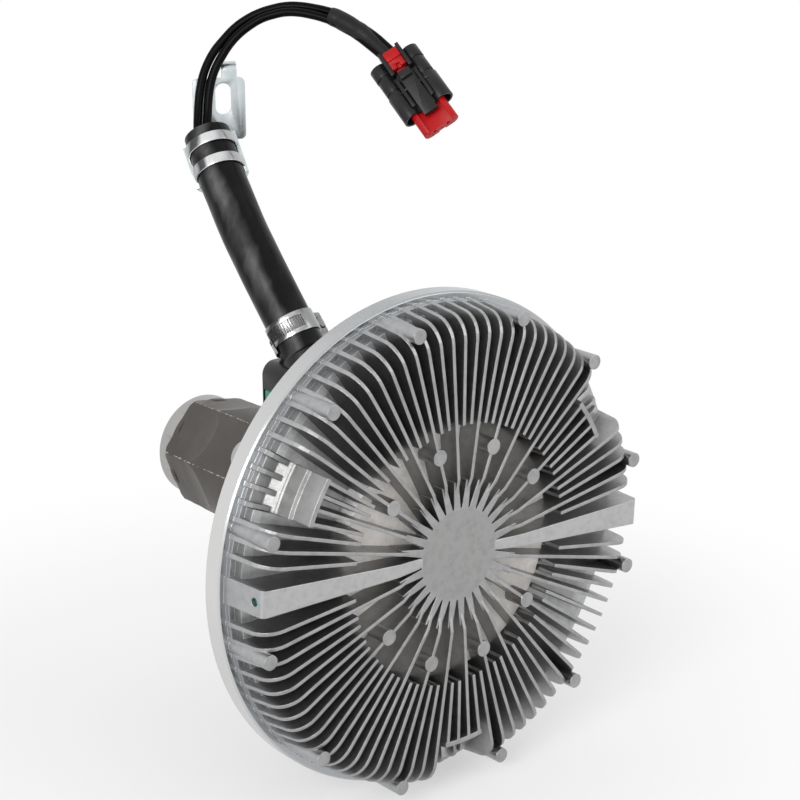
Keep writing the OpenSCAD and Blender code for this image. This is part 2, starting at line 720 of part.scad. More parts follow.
// Torsion spring on the pivot pin, between the two halves of the eye
function coil_ring(r, turns, rise, n) = [for (i = [0:n]) let (a = 360 * turns * i / n)
    [-rise / 2 + rise * i / n, r * cos(a), r * sin(a)]];

module valve_spring() color([0.5, 0.5, 0.52]) on_axis() on_arm() {
    sweep(coil_ring(pivot_d / 2 + 0.75, 4, 3.6, 48), 0.35, 6);
}

// Rotor with concentric lands on both faces
module rotor() color([0.74, 0.74, 0.75]) on_axis() {
    difference() {
        rotate_extrude() polygon(concat(
            [[rotor_seat_r + press_fit, hub_back], [nut_r + 6, hub_back], [nut_r + 6, web_z]],
            [for (i = [0:land_count - 1]) let (r = land_r + land_pitch / 2 + i * land_pitch)
                each [[r, web_z], [r, web_z - land_h], [r + land_w, web_z - land_h], [r + land_w, web_z]]],
            [[rotor_r, web_z], [rotor_r, web_front]],
            [for (i = [land_count - 1:-1:0]) let (r = land_r + land_pitch / 2 + i * land_pitch)
                each [[r + land_w, web_front], [r + land_w, web_front + land_h], [r, web_front + land_h], [r, web_front]]],
            [[rotor_seat_r + press_fit, web_front]]
        ));
        ring(pole_ring_r, pole_ring_r - 6, web_front - 4, web_front + 1);
        for (i = [0:5]) at_clock(i * 60) translate([0, pole_ring_r + 9, web_z - 1]) cylinder(r = 4, h = web_t + 2);
    }
}

module rotor_pole_ring() color([0.4, 0.4, 0.42]) on_axis() {
    ring(pole_ring_r - press_fit, pole_ring_r - 6 + press_fit, web_front - 4, web_front);
}

module rotor_nut() color([0.42, 0.43, 0.45]) on_axis() {
    difference() {
        ring(nut_r, rotor_seat_r - 1 + press_fit, web_front, shaft_front);
        for (i = [0:3]) rotate([0, 0, 45 + i * 90]) translate([-2.5, nut_r - 2.5, web_front + 1]) cube([5, 5, 10]);
    }
}

// Drive shaft: a forging with a milled hexagon behind a round barrel
module drive_shaft() color([0.38, 0.36, 0.34]) on_axis() {
    difference() {
        union() {
            shaft_blank();
            rotate_extrude() polygon([
                [0, -hub_reach], [spigot_d / 2 - 1, -hub_reach], [spigot_d / 2, 1 - hub_reach],
                [spigot_d / 2, collar_back], [collar_d / 2 - 0.8, collar_back], [collar_d / 2, collar_back + 0.8],
                [collar_d / 2, flat_back + 3], [0, flat_back + 3]
            ]);
        }
        ring(coil_journal_r + 1, coil_journal_r - 1.5, coil_brg_front, coil_brg_front + clip_t + 0.1);
        translate([0, 0, -hub_reach - 1]) cylinder(d = pilot_d, h = pilot_l + 1);
        translate([0, 0, -hub_reach]) cylinder(d = thread_d, h = pilot_l + thread_l);
    }
}

// Turned blank with its six flats
module shaft_blank() {
    difference() {
        rotate_extrude() polygon([
            [0, flat_back], [corner_r - 1.2, flat_back], [corner_r, flat_back + 1.6],
            [corner_r, flat_back + flat_l / 2], [barrel_r, flat_back + flat_l],
            [barrel_r, barrel_front + 4], [barrel_r - 2, barrel_front + 6], [neck_r, barrel_front + 6],
            [neck_r, coil_brg_back], [coil_journal_r, coil_brg_back],
            [coil_journal_r, main_back - 4],
            [main_d / 2 + 4.5, main_back - 4], [main_d / 2 + 4.5, main_back], [main_d / 2, main_back],
            [main_d / 2, hub_back], [rotor_seat_r, hub_back], [rotor_seat_r, web_front],
            [rotor_seat_r - 1, web_front], [rotor_seat_r - 1, shaft_front - 0.6], [rotor_seat_r - 1.6, shaft_front],
            [0, shaft_front]
        ]);
        for (i = [0:5]) at_clock(9 + i * 60) flat_cut();
    }
}

// One milled flat, with the round run-out of the cutter towards the barrel
module flat_cut() {
    flat_at = hex_af / 2;
    run_z = flat_back + flat_l;
    rotate([90, 0, 90]) translate([0, 0, -barrel_r]) linear_extrude(2 * barrel_r) polygon(concat(
        [[flat_at, flat_back - 3]],
        arc(flat_at + runout_r, run_z, runout_r, 180, 180 - acos(1 - (barrel_r + 1 - flat_at) / runout_r), 12),
        [[barrel_r + 1, flat_back - 3]]
    ));
}

module bearing_spacer() color([0.55, 0.55, 0.57]) on_axis() {
    ring(sleeve_r, main_d / 2 + press_fit, main_front, hub_back);
}

module shaft_seal() color([0.2, 0.13, 0.1]) on_axis() {
    rotate_extrude() polygon([
        [sleeve_r + run_fit, seal_front - 2.6], [sleeve_r + run_fit, seal_front - 2], [sleeve_r + 2.5, seal_front - 1.2],
        [seal_bore_r - press_fit, seal_front - 0.3], [seal_bore_r - press_fit, main_front + 0.1], [sleeve_r + 4, main_front + 0.1],
        [sleeve_r + 4, seal_front - 3.2], [sleeve_r + 1, seal_front - 3.4]
    ]);
}

// Ball bearings
module bearing_inner(d, shoulder_r, pitch_r, ball_d, rows, z0, z1) {
    difference() {
        ring(shoulder_r, d / 2 + press_fit, z0, z1);
        for (z = rows) rotate_extrude() translate([pitch_r, z]) circle(d = ball_d + 2 * run_fit);
    }
}

module bearing_outer(od, shoulder_r, pitch_r, ball_d, rows, z0, z1) {
    difference() {
        ring(od / 2 - press_fit, shoulder_r, z0, z1);
        for (z = rows) rotate_extrude() translate([pitch_r, z]) circle(d = ball_d + 2 * run_fit);
    }
}

module bearing_balls(pitch_r, ball_d, rows, count) {
    for (z = rows, i = [0:count - 1]) at_clock(i * 360 / count) translate([0, pitch_r, z]) sphere(d = ball_d, $fn = 32);
}

module bearing_cage(pitch_r, ball_d, rows, count, wall, z0, z1) {
    difference() {
        ring(pitch_r + wall / 2, pitch_r - wall / 2, z0, z1);
        for (z = rows, i = [0:count - 1]) at_clock(i * 360 / count)
            translate([0, pitch_r - wall, z]) rotate([-90, 0, 0]) cylinder(d = ball_d + 4 * run_fit, h = 2 * wall);
    }
}

module main_bearing_inner() color([0.7, 0.71, 0.73]) on_axis()
    bearing_inner(main_d, main_pitch_r - main_gap_r, main_pitch_r, main_ball_d, main_rows, main_back, main_front);

module main_bearing_outer() color([0.7, 0.71, 0.73]) on_axis()
    bearing_outer(main_od, main_pitch_r + main_gap_r, main_pitch_r, main_ball_d, main_rows, main_back, main_front);

module main_bearing_balls() color([0.85, 0.86, 0.88]) on_axis()
    bearing_balls(main_pitch_r, main_ball_d, main_rows, main_balls);

module main_bearing_cage() color([0.8, 0.72, 0.5]) on_axis()
    bearing_cage(main_pitch_r, main_ball_d, main_rows, main_balls, 1.5, main_back + 1.5, main_front - 1.5);

module coil_bearing_inner() color([0.7, 0.71, 0.73]) on_axis()
    bearing_inner(coil_brg_d, coil_pitch_r - coil_gap_r, coil_pitch_r, coil_ball_d, coil_rows, coil_brg_back, coil_brg_front);

module coil_bearing_outer() color([0.7, 0.71, 0.73]) on_axis()
    bearing_outer(coil_brg_od, coil_pitch_r + coil_gap_r, coil_pitch_r, coil_ball_d, coil_rows, coil_brg_back, coil_brg_front);

module coil_bearing_balls() color([0.85, 0.86, 0.88]) on_axis()
    bearing_balls(coil_pitch_r, coil_ball_d, coil_rows, coil_balls);

module coil_bearing_cage() color([0.8, 0.72, 0.5]) on_axis()
    bearing_cage(coil_pitch_r, coil_ball_d, coil_rows, coil_balls, 1.5, coil_brg_back + 1.2, coil_brg_front - 1.2);

// Retaining rings, open at the bottom
module circlip(r_out, r_in, z0) {
    difference() {
        ring(r_out, r_in, z0, z0 + clip_t);
        translate([-3, -r_out - 1, z0 - 1]) cube([6, r_out - r_in + 4, clip_t + 2]);
    }
}

module main_bearing_circlip() color([0.3, 0.3, 0.32]) on_axis()
    circlip(main_od / 2 + 1.5, main_od / 2 - 2.5, main_back - clip_t - 0.05);

module coil_shaft_circlip() color([0.3, 0.3, 0.32]) on_axis()
    circlip(coil_journal_r + 2, coil_journal_r - 1.4, coil_brg_front + 0.05);

module coil_cup_circlip() color([0.3, 0.3, 0.32]) on_axis()
    circlip(coil_brg_od / 2 + 1.4, coil_brg_od / 2 - 2, coil_brg_front + 0.05);

// Steel rings on the rear body that pass the coil's field on and carry the speed marks
module body_pole_ring() color([0.42, 0.42, 0.44]) on_axis()
    ring(pole_r, boss_r + press_fit, ring_back, pocket_back - 2);

module speed_ring() color([0.5, 0.5, 0.52]) on_axis() {
    difference() {
        union() {
            ring(mould_r, pole_r + press_fit, ring_back, ring_back + tooth_t);
            ring(pole_r + 2, pole_r + press_fit, ring_back, ring_back + speed_hub_l);
        }
        for (i = [0:23]) at_clock(i * 15)
            translate([-tooth_w / 2, mould_r - tooth_l, ring_back - 1]) cube([tooth_w, 2 * tooth_l, tooth_t + 2]);
    }
}

// Coil: steel cup, bobbin with its winding, and the moulding with the terminal box
module coil_cup() color([0.45, 0.45, 0.47]) on_axis() {
    bore_r = coil_brg_od / 2;
    rotate_extrude() polygon([
        [bore_r, cup_front], [bore_r, coil_brg_front + clip_t + 0.1], [bore_r + 1.5, coil_brg_front + clip_t + 0.1],
        [bore_r + 1.5, coil_brg_front], [bore_r, coil_brg_front], [bore_r, coil_brg_back], [coil_lip_r, coil_brg_back],
        [coil_lip_r, cup_back], [cup_r, cup_back], [cup_r, cup_front], [cup_r - cup_wall, cup_front],
        [cup_r - cup_wall, cup_back + cup_wall], [bore_r + cup_wall, cup_back + cup_wall], [bore_r + cup_wall, cup_front]
    ]);
}

module coil_bobbin() color([0.85, 0.83, 0.76]) on_axis() {
    rotate_extrude() polygon([
        [bobbin_in, cup_back + cup_wall + 0.1], [bobbin_out, cup_back + cup_wall + 0.1], [bobbin_out, cup_back + cup_wall + 1.6],
        [bobbin_in + 1.5, cup_back + cup_wall + 1.6], [bobbin_in + 1.5, cup_front - 2.5], [bobbin_out, cup_front - 2.5],
        [bobbin_out, cup_front - 1], [bobbin_in, cup_front - 1]
    ]);
}

module coil_winding() color([0.72, 0.38, 0.2]) on_axis()
    ring(bobbin_out - 0.5, bobbin_in + 1.6, cup_back + cup_wall + 1.7, cup_front - 2.6);

module coil_moulding() color([0.08, 0.08, 0.09]) {
    difference() {
        union() {
            on_axis() {
                ring(mould_r, cup_r + press_fit, moulding_back, cup_front);
                ring(mould_r, coil_lip_r + 1, moulding_back, cup_back - press_fit);
                translate([box_x, 0, box_back]) terminal_box();
            }
            on_foot() translate([0, 0, -12]) cylinder(r = hose_r + 0.6, h = 11.8);
            on_foot() translate([0, 0, -1]) cylinder(r = hose_bore_r - press_fit, h = spigot_l + 1);
        }
        on_axis() {
            ring(cup_r + press_fit, 1, cup_back - press_fit, cup_front + 20);
            ring(coil_lip_r + 1, 0, moulding_back - 1, cup_back + 1);
            translate([0, cup_r + mould_t / 2 + 0.4, cup_front - 6]) cylinder(r = 1.7, h = 10);
            box_seal_block(0);
        }
        on_foot() translate([0, 0, -6]) cylinder(r = lead_r + loose_fit, h = spigot_l + 10);
    }
}

// The box stands on the ring and has two rounded shoulders
module terminal_box() {
    r = 7;
    linear_extrude(box_l) difference() {
        union() {
            translate([-box_w / 2, 0]) square([box_w, box_top - r]);
            translate([-box_w / 2 + r, 0]) square([box_w - 2 * r, box_top]);
            for (s = [-1, 1]) translate([s * (box_w / 2 - r), box_top - r]) circle(r);
        }
        translate([-box_x, 0]) circle(cup_r + mould_t / 2);
    }
}

// Rubber plug that shows in the side of the terminal box
module box_seal_block(clear) {
    translate([box_x - box_w / 2 - 1 + 1.2 * sign(clear), box_top - 20.5 + clear, box_back + 1 + clear])
        cube([4 - 1.2 * sign(clear) - clear, 6.5 - 2 * clear, 10 - 2 * clear]);
}

module box_seal() color([0.1, 0.5, 0.38]) on_axis() box_seal_block(press_fit);

module speed_sensor() color([0.2, 0.2, 0.22]) on_axis() {
    translate([0, cup_r + mould_t / 2 + 0.4, cup_front - 6 + press_fit]) cylinder(r = 1.7 - press_fit, h = 6.3);
}

// Places children at p with z along d
module along(p, d) {
    translate(lead_at + p) rotate([-asin(d[1] / norm(d)), atan2(d[0], d[2]), 0]) children();
}

module on_foot() {
    along([0, 0, 0], hose_path[1]) children();
}

module on_head() {
    n = len(hose_path) - 1;
    along(hose_path[n], hose_path[n] - hose_path[n - 1]) children();
}

// Sweeps a round section, hollow where r_in is above 0, along a list of points
function unit(v) = v / norm(v);
function path_dir(p, i) = unit(p[min(i + 1, len(p) - 1)] - p[max(i - 1, 0)]);
function section(p, i, r, n, up) = let (d = path_dir(p, i), s = unit(cross(d, up)), u = cross(s, d))
    [for (j = [0:n - 1]) p[i] + r * (cos(360 * j / n) * s + sin(360 * j / n) * u)];
function skin(start, rings, n, out) = [for (i = [0:rings - 2], j = [0:n - 1])
    let (a = start + i * n + j, b = start + i * n + (j + 1) % n)
    each out ? [[a, a + n, b + n], [a, b + n, b]] : [[a, b + n, a + n], [a, b, b + n]]];
function eased(p) = [for (i = [0:len(p) - 1])
    i == 0 || i == len(p) - 1 ? p[i] : (p[i - 1] + 4 * p[i] + p[i + 1]) / 6];

module sweep(p, r, n, r_in = 0, up = [1, 0, 0]) {
    rings = len(p);
    m = rings * n;
    outer = [for (i = [0:rings - 1]) each section(p, i, r, n, up)];
    inner = r_in > 0 ? [for (i = [0:rings - 1]) each section(p, i, r_in, n, up)] : [];
    caps = r_in > 0
        ? [for (j = [0:n - 1]) let (k = (j + 1) % n, e = m - n) each [
            [j, k, m + k, m + j], [e + k, e + j, m + e + j, m + e + k]
        ]]
        : [[for (j = [0:n - 1]) j], [for (j = [n - 1:-1:0]) m - n + j]];
    polyhedron(
        points = concat(outer, inner),
        faces = concat(skin(0, rings, n, true), r_in > 0 ? skin(m, rings, n, false) : [], caps)
    );
}

module hose() color([0.09, 0.09, 0.09]) translate(lead_at) sweep(hose_path, hose_r, 32, hose_bore_r);

// The lead inside the hose, from the terminal box to the bush
module hose_lead() color([0.12, 0.12, 0.12]) {
    n = len(hose_path) - 1;
    last = hose_path[n] - (bush_drop + bush_l) * unit(hose_path[n] - hose_path[n - 1]);
    translate(lead_at) sweep(concat([-6 * unit(hose_path[1])], [for (i = [1:n - 1]) hose_path[i]], [last]), lead_r, 10);
}

module hose_bush() color([0.1, 0.1, 0.1]) on_head() {
    translate([0, 0, -bush_drop - bush_l]) cylinder(r = hose_bore_r - 0.1, h = bush_l);
}

// Worm drive clamp on the foot of the hose: slotted band, housing and screw
module clamp_band() color([0.75, 0.76, 0.77]) on_foot() translate([0, 0, clamp_at]) {
    r = hose_r + press_fit;
    difference() {
        union() {
            ring(r + clamp_t, r, -clamp_w / 2, clamp_w / 2);
            rotate([0, 0, worm_turn + 20]) rotate_extrude(angle = 125)
                translate([r + clamp_t - 0.2, -clamp_w / 2 - 3]) square([clamp_t, 8]);
        }
        for (a = [slots_from:-6:slots_to]) rotate([0, 0, a])
            translate([r + clamp_t - 0.4, -0.6, -3.2]) cube([2, 1.2, 6.4]);
    }
}

module on_worm() {
    on_foot() translate([0, 0, clamp_at]) rotate([0, 0, worm_turn]) translate([hose_r + clamp_t + 0.1, 0, 0]) children();
}

module clamp_housing() color([0.7, 0.71, 0.72]) on_worm() {
    difference() {
        translate([0, -6.5, -clamp_w / 2 - 0.5]) cube([7.6, 13, clamp_w + 1]);
        translate([worm_r + 1, -8, 0]) rotate([-90, 0, 0]) cylinder(r = worm_r, h = 16);
    }
}

module clamp_screw() color([0.78, 0.78, 0.79]) on_worm() translate([worm_r + 1, 0, 0]) rotate([-90, 0, 0]) {
    difference() {
        union() {
            translate([0, 0, -7]) cylinder(r = worm_r - run_fit, h = 14);
            translate([0, 0, 6.8]) cylinder(r = 4.1, h = 5, $fn = 6);
        }
        translate([-0.6, -5, 10]) cube([1.2, 10, 3]);
    }
}

// Bracket: cradle behind the hose, neck, and upright plate with a slot and a curled tab
module on_plate() {
    n = len(hose_path) - 1;
    translate(lead_at + hose_path[n]) rotate([0, 0, plate_turn]) translate([0, plate_behind, 0]) children();
}

module bracket() color([0.74, 0.76, 0.77]) {
    cradle_r = hose_r + 0.1;
    cradle_l = strap_pitch + strap_w + 6;
    difference() {
        on_head() {
            rotate([0, 0, cradle_turn - cradle_sweep / 2]) rotate_extrude(angle = cradle_sweep)
                translate([cradle_r, strap_mid - cradle_l / 2]) square([sheet_t, cradle_l]);
            rotate([0, 0, cradle_turn]) translate([cradle_r + 0.1, -7, strap_mid]) cube([sheet_t - 0.2, 14, plate_behind + 12]);
        }
        on_plate() translate([-1.25 * plate_h, sheet_t / 2, -1.25 * plate_h]) cube([2.5, 1.25, 2.5] * plate_h);
    }
    on_plate() translate([plate_shift[0], sheet_t, plate_shift[1]]) {
        rotate([90, 0, 0]) linear_extrude(sheet_t) difference() {
            rounded_rect(plate_w, plate_h, 3);
            translate(slot_shift) hull() for (s = [-1, 1]) translate([0, s * (slot_l - slot_w) / 2]) circle(d = slot_w);
        }
        translate([slot_shift[0] - 0.6, -sheet_t, plate_h / 2 - 1]) tab();
    }
}

module tab() {
    bend_r = 2.4;
    cube([8, sheet_t, 4.5]);
    translate([0, sheet_t + bend_r, 4.5]) rotate([90, 0, 90]) rotate([0, 0, 70]) rotate_extrude(angle = 110)
        translate([bend_r, 0]) square([sheet_t, 8]);
}

module bracket_straps() color([0.76, 0.78, 0.8]) on_head() {
    for (s = [-1, 1]) rotate([0, 0, cradle_turn + cradle_sweep / 2 + 0.5]) rotate_extrude(angle = 359 - cradle_sweep)
        translate([hose_r + press_fit, strap_mid + s * strap_pitch / 2 - strap_w / 2]) square([1.2, strap_w]);
}

module conduit_left() color([0.1, 0.1, 0.1]) translate(lead_at)
    sweep(eased(left_path), conduit_d / 2, 12, 0, [-0.85, -0.3, 0.4]);

module conduit_right() color([0.1, 0.1, 0.1]) translate(lead_at)
    sweep(eased(right_path), conduit_d / 2, 12, 0, [-0.85, -0.3, 0.4]);

module shrink_sleeve() color([0.12, 0.12, 0.12]) translate(lead_at)
    sweep(eased(sleeve_path), sleeve_d / 2, 12, 0, [-0.85, -0.3, 0.4]);

// Connector: x across its two barrels, y out of its latch side, z towards its nose
module on_plug() {
    translate(lead_at + plug_at) rotate(plug_turn) children();
}

module barrels(d, z0, z1) {
    for (s = [-1, 1]) translate([s * barrel_x, 0, z0]) cylinder(d = d, h = z1 - z0);
}

module connector_body() color([0.07, 0.07, 0.08]) on_plug() {
    difference() {
        union() {
            barrels(barrel_w, 0, 7);
            barrels(barrel_w - 1.2, 1, plug_l - 1);
            barrels(barrel_w - 0.4, 8.2, 16.8);
            barrels(barrel_w + 0.6, 18.6, plug_l);
            translate([-barrel_x, -6, 0.2]) cube([2 * barrel_x, core_y + 6, plug_l - 0.4]);
            for (s = [-1, 1]) {
                translate([s * (guard_in + 0.9) - 0.9, core_y - 1, -3]) cube([1.8, 6.5, 14.5]);
                translate([s * 5.6 - 0.8, core_y - 1, 13]) cube([1.6, 4.4, plug_l - 16]);
            }
        }
        connector_mouth();
        wire_seal_block(0);
        for (s = [-1, 1]) translate([s * 4, 0, 3]) cylinder(r = terminal_r + press_fit, h = mouth_z);
        translate([-9, latch_y, latch_z]) rotate([0, 90, 0]) cylinder(r = 0.9 + run_fit, h = 18);
    }
}

module connector_mouth() {
    for (s = [-1, 1]) translate([s * (barrel_x - 0.2), 0, mouth_z]) cylinder(d = barrel_w - 1.2, h = 20);
    translate([0.2 - barrel_x, -3.7, mouth_z]) cube([2 * barrel_x - 0.4, core_y + 2.3, 20]);
}

module wire_seal_block(clear) {
    translate([-6 + clear, -3.2 + clear, -1 - clear]) cube([12 - 2 * clear, 5.4 - 2 * clear, 5]);
}

module wire_seal() color([0.3, 0.12, 0.08]) on_plug() wire_seal_block(press_fit);

// Rocking latch on its cross pin
module connector_latch() color([0.07, 0.07, 0.08]) on_plug() {
    translate([-latch_w / 2, 4.6, 13]) cube([latch_w, 2.2, plug_l - 8.6]);
    translate([-latch_w / 2 + 0.4, 3.8, plug_l + 2.2]) cube([latch_w - 0.8, 1, 2.2]);
    translate([-3.2, 5.8, lock_z + lock_travel + 0.6]) cube([6.4, 3.6, 4.2]);
    translate([-6.2, latch_y, latch_z]) rotate([0, 90, 0]) cylinder(r = 0.9, h = 12.4);
}

// Red lock behind the latch
module connector_lock() color([0.8, 0.05, 0.06]) on_plug() {
    w = guard_in - loose_fit;
    difference() {
        union() {
            translate([-w, core_y + loose_fit, -2]) cube([2 * w, 5, 5.6]);
            translate([-w, core_y + loose_fit, 3]) cube([2 * w, 3.8, lock_z - 3]);
            translate([-2.6, core_y + loose_fit, lock_z - 0.6]) cube([5.2, 0.9, 1.4]);
        }
        translate([-1.1, core_y + 2.5, 6.2]) cube([2.2, 4, 4]);
    }
}

// Red nose that locks the terminals
module connector_nose() color([0.85, 0.06, 0.07]) on_plug() {
    r = 3.4;
    x = nose_w / 2 - r;
    z0 = mouth_z + nose_travel + 0.3;
    l = plug_l + nose_out - z0;
    difference() {
        union() {
            for (s = [-1, 1]) translate([s * x, 0, z0]) cylinder(r = r, h = l);
            translate([-x, -r, z0]) cube([2 * x, r + 1.5, l]);
        }
        translate([-x, 1.5, z0 - 1]) cube([2 * x, 4, l + 2]);
        for (s = [-1, 1]) translate([s * 4, 0, z0 - 1]) cylinder(r = terminal_r + loose_fit, h = l + 2);
        for (p = [[-7, 0.6], [7, 0.6], [-5.6, -2.2], [5.6, -2.2], [0, -0.4]])
            translate([p[0], p[1], z0 + l - 3]) cylinder(r = 0.5, h = 4);
        translate([-1.8, -r - 1, z0 + l - 2.5]) cube([3.6, 2, 4]);
    }
}

module connector_terminals() color([0.75, 0.62, 0.3]) on_plug() {
    for (s = [-1, 1]) translate([s * 4, 0, 4.2]) cylinder(r = terminal_r, h = plug_l + nose_out - 7);
}

front_cover();
rear_body();
cover_seal();
cover_screws();
passage_plugs();
reservoir_plate();
plate_screws();
pivot_pin();
valve_arm();
valve_pad();
armature();
valve_spring();
rotor();
rotor_pole_ring();
rotor_nut();
drive_shaft();
bearing_spacer();
shaft_seal();
main_bearing_inner();
main_bearing_outer();
main_bearing_balls();
main_bearing_cage();
main_bearing_circlip();
body_pole_ring();
speed_ring();
coil_bearing_inner();
coil_bearing_outer();
coil_bearing_balls();
coil_bearing_cage();
coil_shaft_circlip();
coil_cup_circlip();
coil_cup();
coil_bobbin();
coil_winding();
coil_moulding();
speed_sensor();
box_seal();
hose();
hose_lead();
hose_bush();
clamp_band();
clamp_housing();
clamp_screw();
bracket();
bracket_straps();
conduit_left();
conduit_right();
shrink_sleeve();
wire_seal();
connector_body();
connector_latch();
connector_lock();
connector_nose();
connector_terminals();
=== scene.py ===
import bpy
import math
from mathutils import Matrix, Vector


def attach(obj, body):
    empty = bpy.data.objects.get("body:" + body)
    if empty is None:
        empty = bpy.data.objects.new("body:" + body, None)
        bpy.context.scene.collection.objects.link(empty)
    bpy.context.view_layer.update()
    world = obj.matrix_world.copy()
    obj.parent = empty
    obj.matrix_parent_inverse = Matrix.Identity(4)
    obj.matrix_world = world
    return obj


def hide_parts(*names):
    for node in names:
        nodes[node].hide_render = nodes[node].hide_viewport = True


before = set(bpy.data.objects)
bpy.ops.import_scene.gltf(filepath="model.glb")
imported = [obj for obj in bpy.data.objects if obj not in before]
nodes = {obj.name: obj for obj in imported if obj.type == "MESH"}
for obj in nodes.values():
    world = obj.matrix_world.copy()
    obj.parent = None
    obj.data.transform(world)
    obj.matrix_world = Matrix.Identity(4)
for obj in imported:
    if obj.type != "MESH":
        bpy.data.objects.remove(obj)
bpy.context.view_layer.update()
print("frame loaded:", len(nodes), "nodes")

# small helpers for modelling


def deselectAll():
    if bpy.context.mode != "OBJECT":
        bpy.ops.object.mode_set(mode="OBJECT")
    bpy.ops.object.select_all(action="DESELECT")


def pick(piece):
    deselectAll()
    piece.select_set(True)
    bpy.context.view_layer.objects.active = piece
    return piece


def settle(piece):  # puts the place and the size into the mesh
    pick(piece)
    bpy.ops.object.transform_apply(location=True, rotation=True, scale=True)
    return piece


def applyModifier(piece, kind, **settings):
    pick(piece)
    bpy.ops.object.modifier_add(type=kind)
    modifier = piece.modifiers[-1]
    for key, value in settings.items():
        setattr(modifier, key, value)
    bpy.ops.object.modifier_apply(modifier=modifier.name)
    return piece


def placeAt(piece, frameMatrix):  # from a piece's own frame to the row frame
    piece.matrix_world = frameMatrix @ piece.matrix_world
    return settle(piece)


def smooth(piece, angle=40):
    pick(piece)
    bpy.ops.object.shade_smooth_by_angle(angle=math.radians(angle))
    return piece


def alongAxis(point, direction):  # z along direction, turned the least from upright, as the CAD does it
    d = Vector(direction).normalized()
    tiltX = -math.asin(d.y)
    tiltY = math.atan2(d.x, d.z)
    return Matrix.Translation(point) @ Matrix.Rotation(tiltY, 4, "Y") @ Matrix.Rotation(tiltX, 4, "X")


# camera at the photograph's viewing angle

cameraView = {
    "place": (-0.68566, -1.0079, 0.41926),
    "turn": (71.919, 0.485, -39.718),
    "lens": 104.19,
}
deselectAll()
bpy.ops.object.camera_add(
    location=cameraView["place"],
    rotation=[math.radians(a) for a in cameraView["turn"]],
)
camera = bpy.context.object
camera.name = "photoCamera"
camera.data.lens = cameraView["lens"]
camera.data.sensor_width = 36
camera.data.clip_end = 30
bpy.context.scene.camera = camera
print("camera placed")

# cords: the two conduits between the hose's bush and the connector

leftConduit = {
    "diameter": 0.0046,
    "points": [
        (-0.013, -0.0335, 0.176), (-0.01233, -0.03067, 0.1795), (-0.01092, -0.0285, 0.18333),
        (-0.009, -0.0265, 0.18867), (-0.007, -0.02467, 0.195), (-0.00492, -0.02358, 0.2015),
        (-0.00242, -0.02308, 0.20783), (0.00067, -0.02308, 0.21358), (0.00467, -0.02375, 0.21942),
        (0.0095, -0.0255, 0.225), (0.01458, -0.02775, 0.23033), (0.02, -0.03117, 0.23483),
        (0.0255, -0.0355, 0.23825), (0.03092, -0.04008, 0.24042), (0.03592, -0.04508, 0.24175),
        (0.0405, -0.05058, 0.24183), (0.04483, -0.0565, 0.241), (0.04858, -0.06267, 0.23983),
        (0.05225, -0.06942, 0.23783), (0.055, -0.07592, 0.235), (0.05742, -0.08217, 0.23192),
        (0.05942, -0.089, 0.22833), (0.061, -0.096, 0.224), (0.0625, -0.103, 0.2195),
    ],
}
rightConduit = {
    "diameter": 0.0046,
    "points": [
        (-0.0095, -0.036, 0.177), (-0.00883, -0.034, 0.17967), (-0.00733, -0.03192, 0.18333),
        (-0.00517, -0.02967, 0.18858), (-0.00342, -0.02808, 0.19458), (-0.0015, -0.02708, 0.20083),
        (0.00058, -0.02667, 0.2065), (0.00317, -0.02708, 0.212), (0.0065, -0.02808, 0.2175),
        (0.01008, -0.02967, 0.22292), (0.01417, -0.03217, 0.22792), (0.01892, -0.0355, 0.23233),
        (0.02358, -0.03917, 0.23575), (0.02842, -0.0435, 0.23792), (0.03292, -0.04817, 0.23925),
        (0.037, -0.05342, 0.23933), (0.041, -0.05867, 0.23842), (0.04492, -0.06442, 0.23692),
        (0.04833, -0.07008, 0.23483), (0.051, -0.07592, 0.232), (0.05342, -0.08167, 0.22883),
        (0.0555, -0.088, 0.225), (0.05733, -0.0945, 0.221), (0.0585, -0.101, 0.217),
    ],
}


def tubeAlong(name, points, radius, sides=5):  # an open curve with a round section
    deselectAll()
    bpy.ops.curve.primitive_bezier_curve_add()
    curve = bpy.context.object
    curve.name = name
    spline = curve.data.splines[0]
    spline.bezier_points.add(len(points) - 2)
    for knot, point in zip(spline.bezier_points, points):
        knot.co = point
        knot.handle_left_type = knot.handle_right_type = "AUTO"
    curve.data.bevel_depth = radius
    curve.data.bevel_resolution = sides
    curve.data.resolution_u = 8
    curve.data.use_fill_caps = True
    return curve


def toTube(curve):  # turns the curve into a mesh and returns the line that it followed
    radius = curve.data.bevel_depth
    curve.data.bevel_depth = 0
    bpy.context.view_layer.update()
    bare = curve.evaluated_get(bpy.context.evaluated_depsgraph_get())
    line = [tuple(point.co) for point in bare.to_mesh().vertices]
    bare.to_mesh_clear()
    curve.data.bevel_depth = radius
    pick(curve)
    bpy.ops.object.convert(target="MESH")
    return bpy.context.object, line


conduits = {}
centrelines = {}
for side, plan in (("Left", leftConduit), ("Right", rightConduit)):
    tube, centrelines[side] = toTube(tubeAlong("conduit" + side, plan["points"], plan["diameter"] / 2))
    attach(tube, "coil_carrier")
    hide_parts("conduit_" + side.lower())
    conduits[side] = tube

print("cords laid")

# materials


def startMaterial(name, color, metal=0.0, rough=0.5):
    material = bpy.data.materials.new(name)
    material.use_nodes = True
    tree = material.node_tree
    shader = tree.nodes["Principled BSDF"]
    shader.inputs["Base Color"].default_value = (*color, 1)
    shader.inputs["Metallic"].default_value = metal
    shader.inputs["Roughness"].default_value = rough
    return material, tree, shader


def addNode(tree, kind, inputs=None, **settings):
    node = tree.nodes.new("ShaderNode" + kind)
    for key, value in settings.items():
        setattr(node, key, value)
    for key, value in (inputs or {}).items():
        if isinstance(value, bpy.types.NodeSocket):
            tree.links.new(value, node.inputs[key])
        else:
            node.inputs[key].default_value = value
    return node


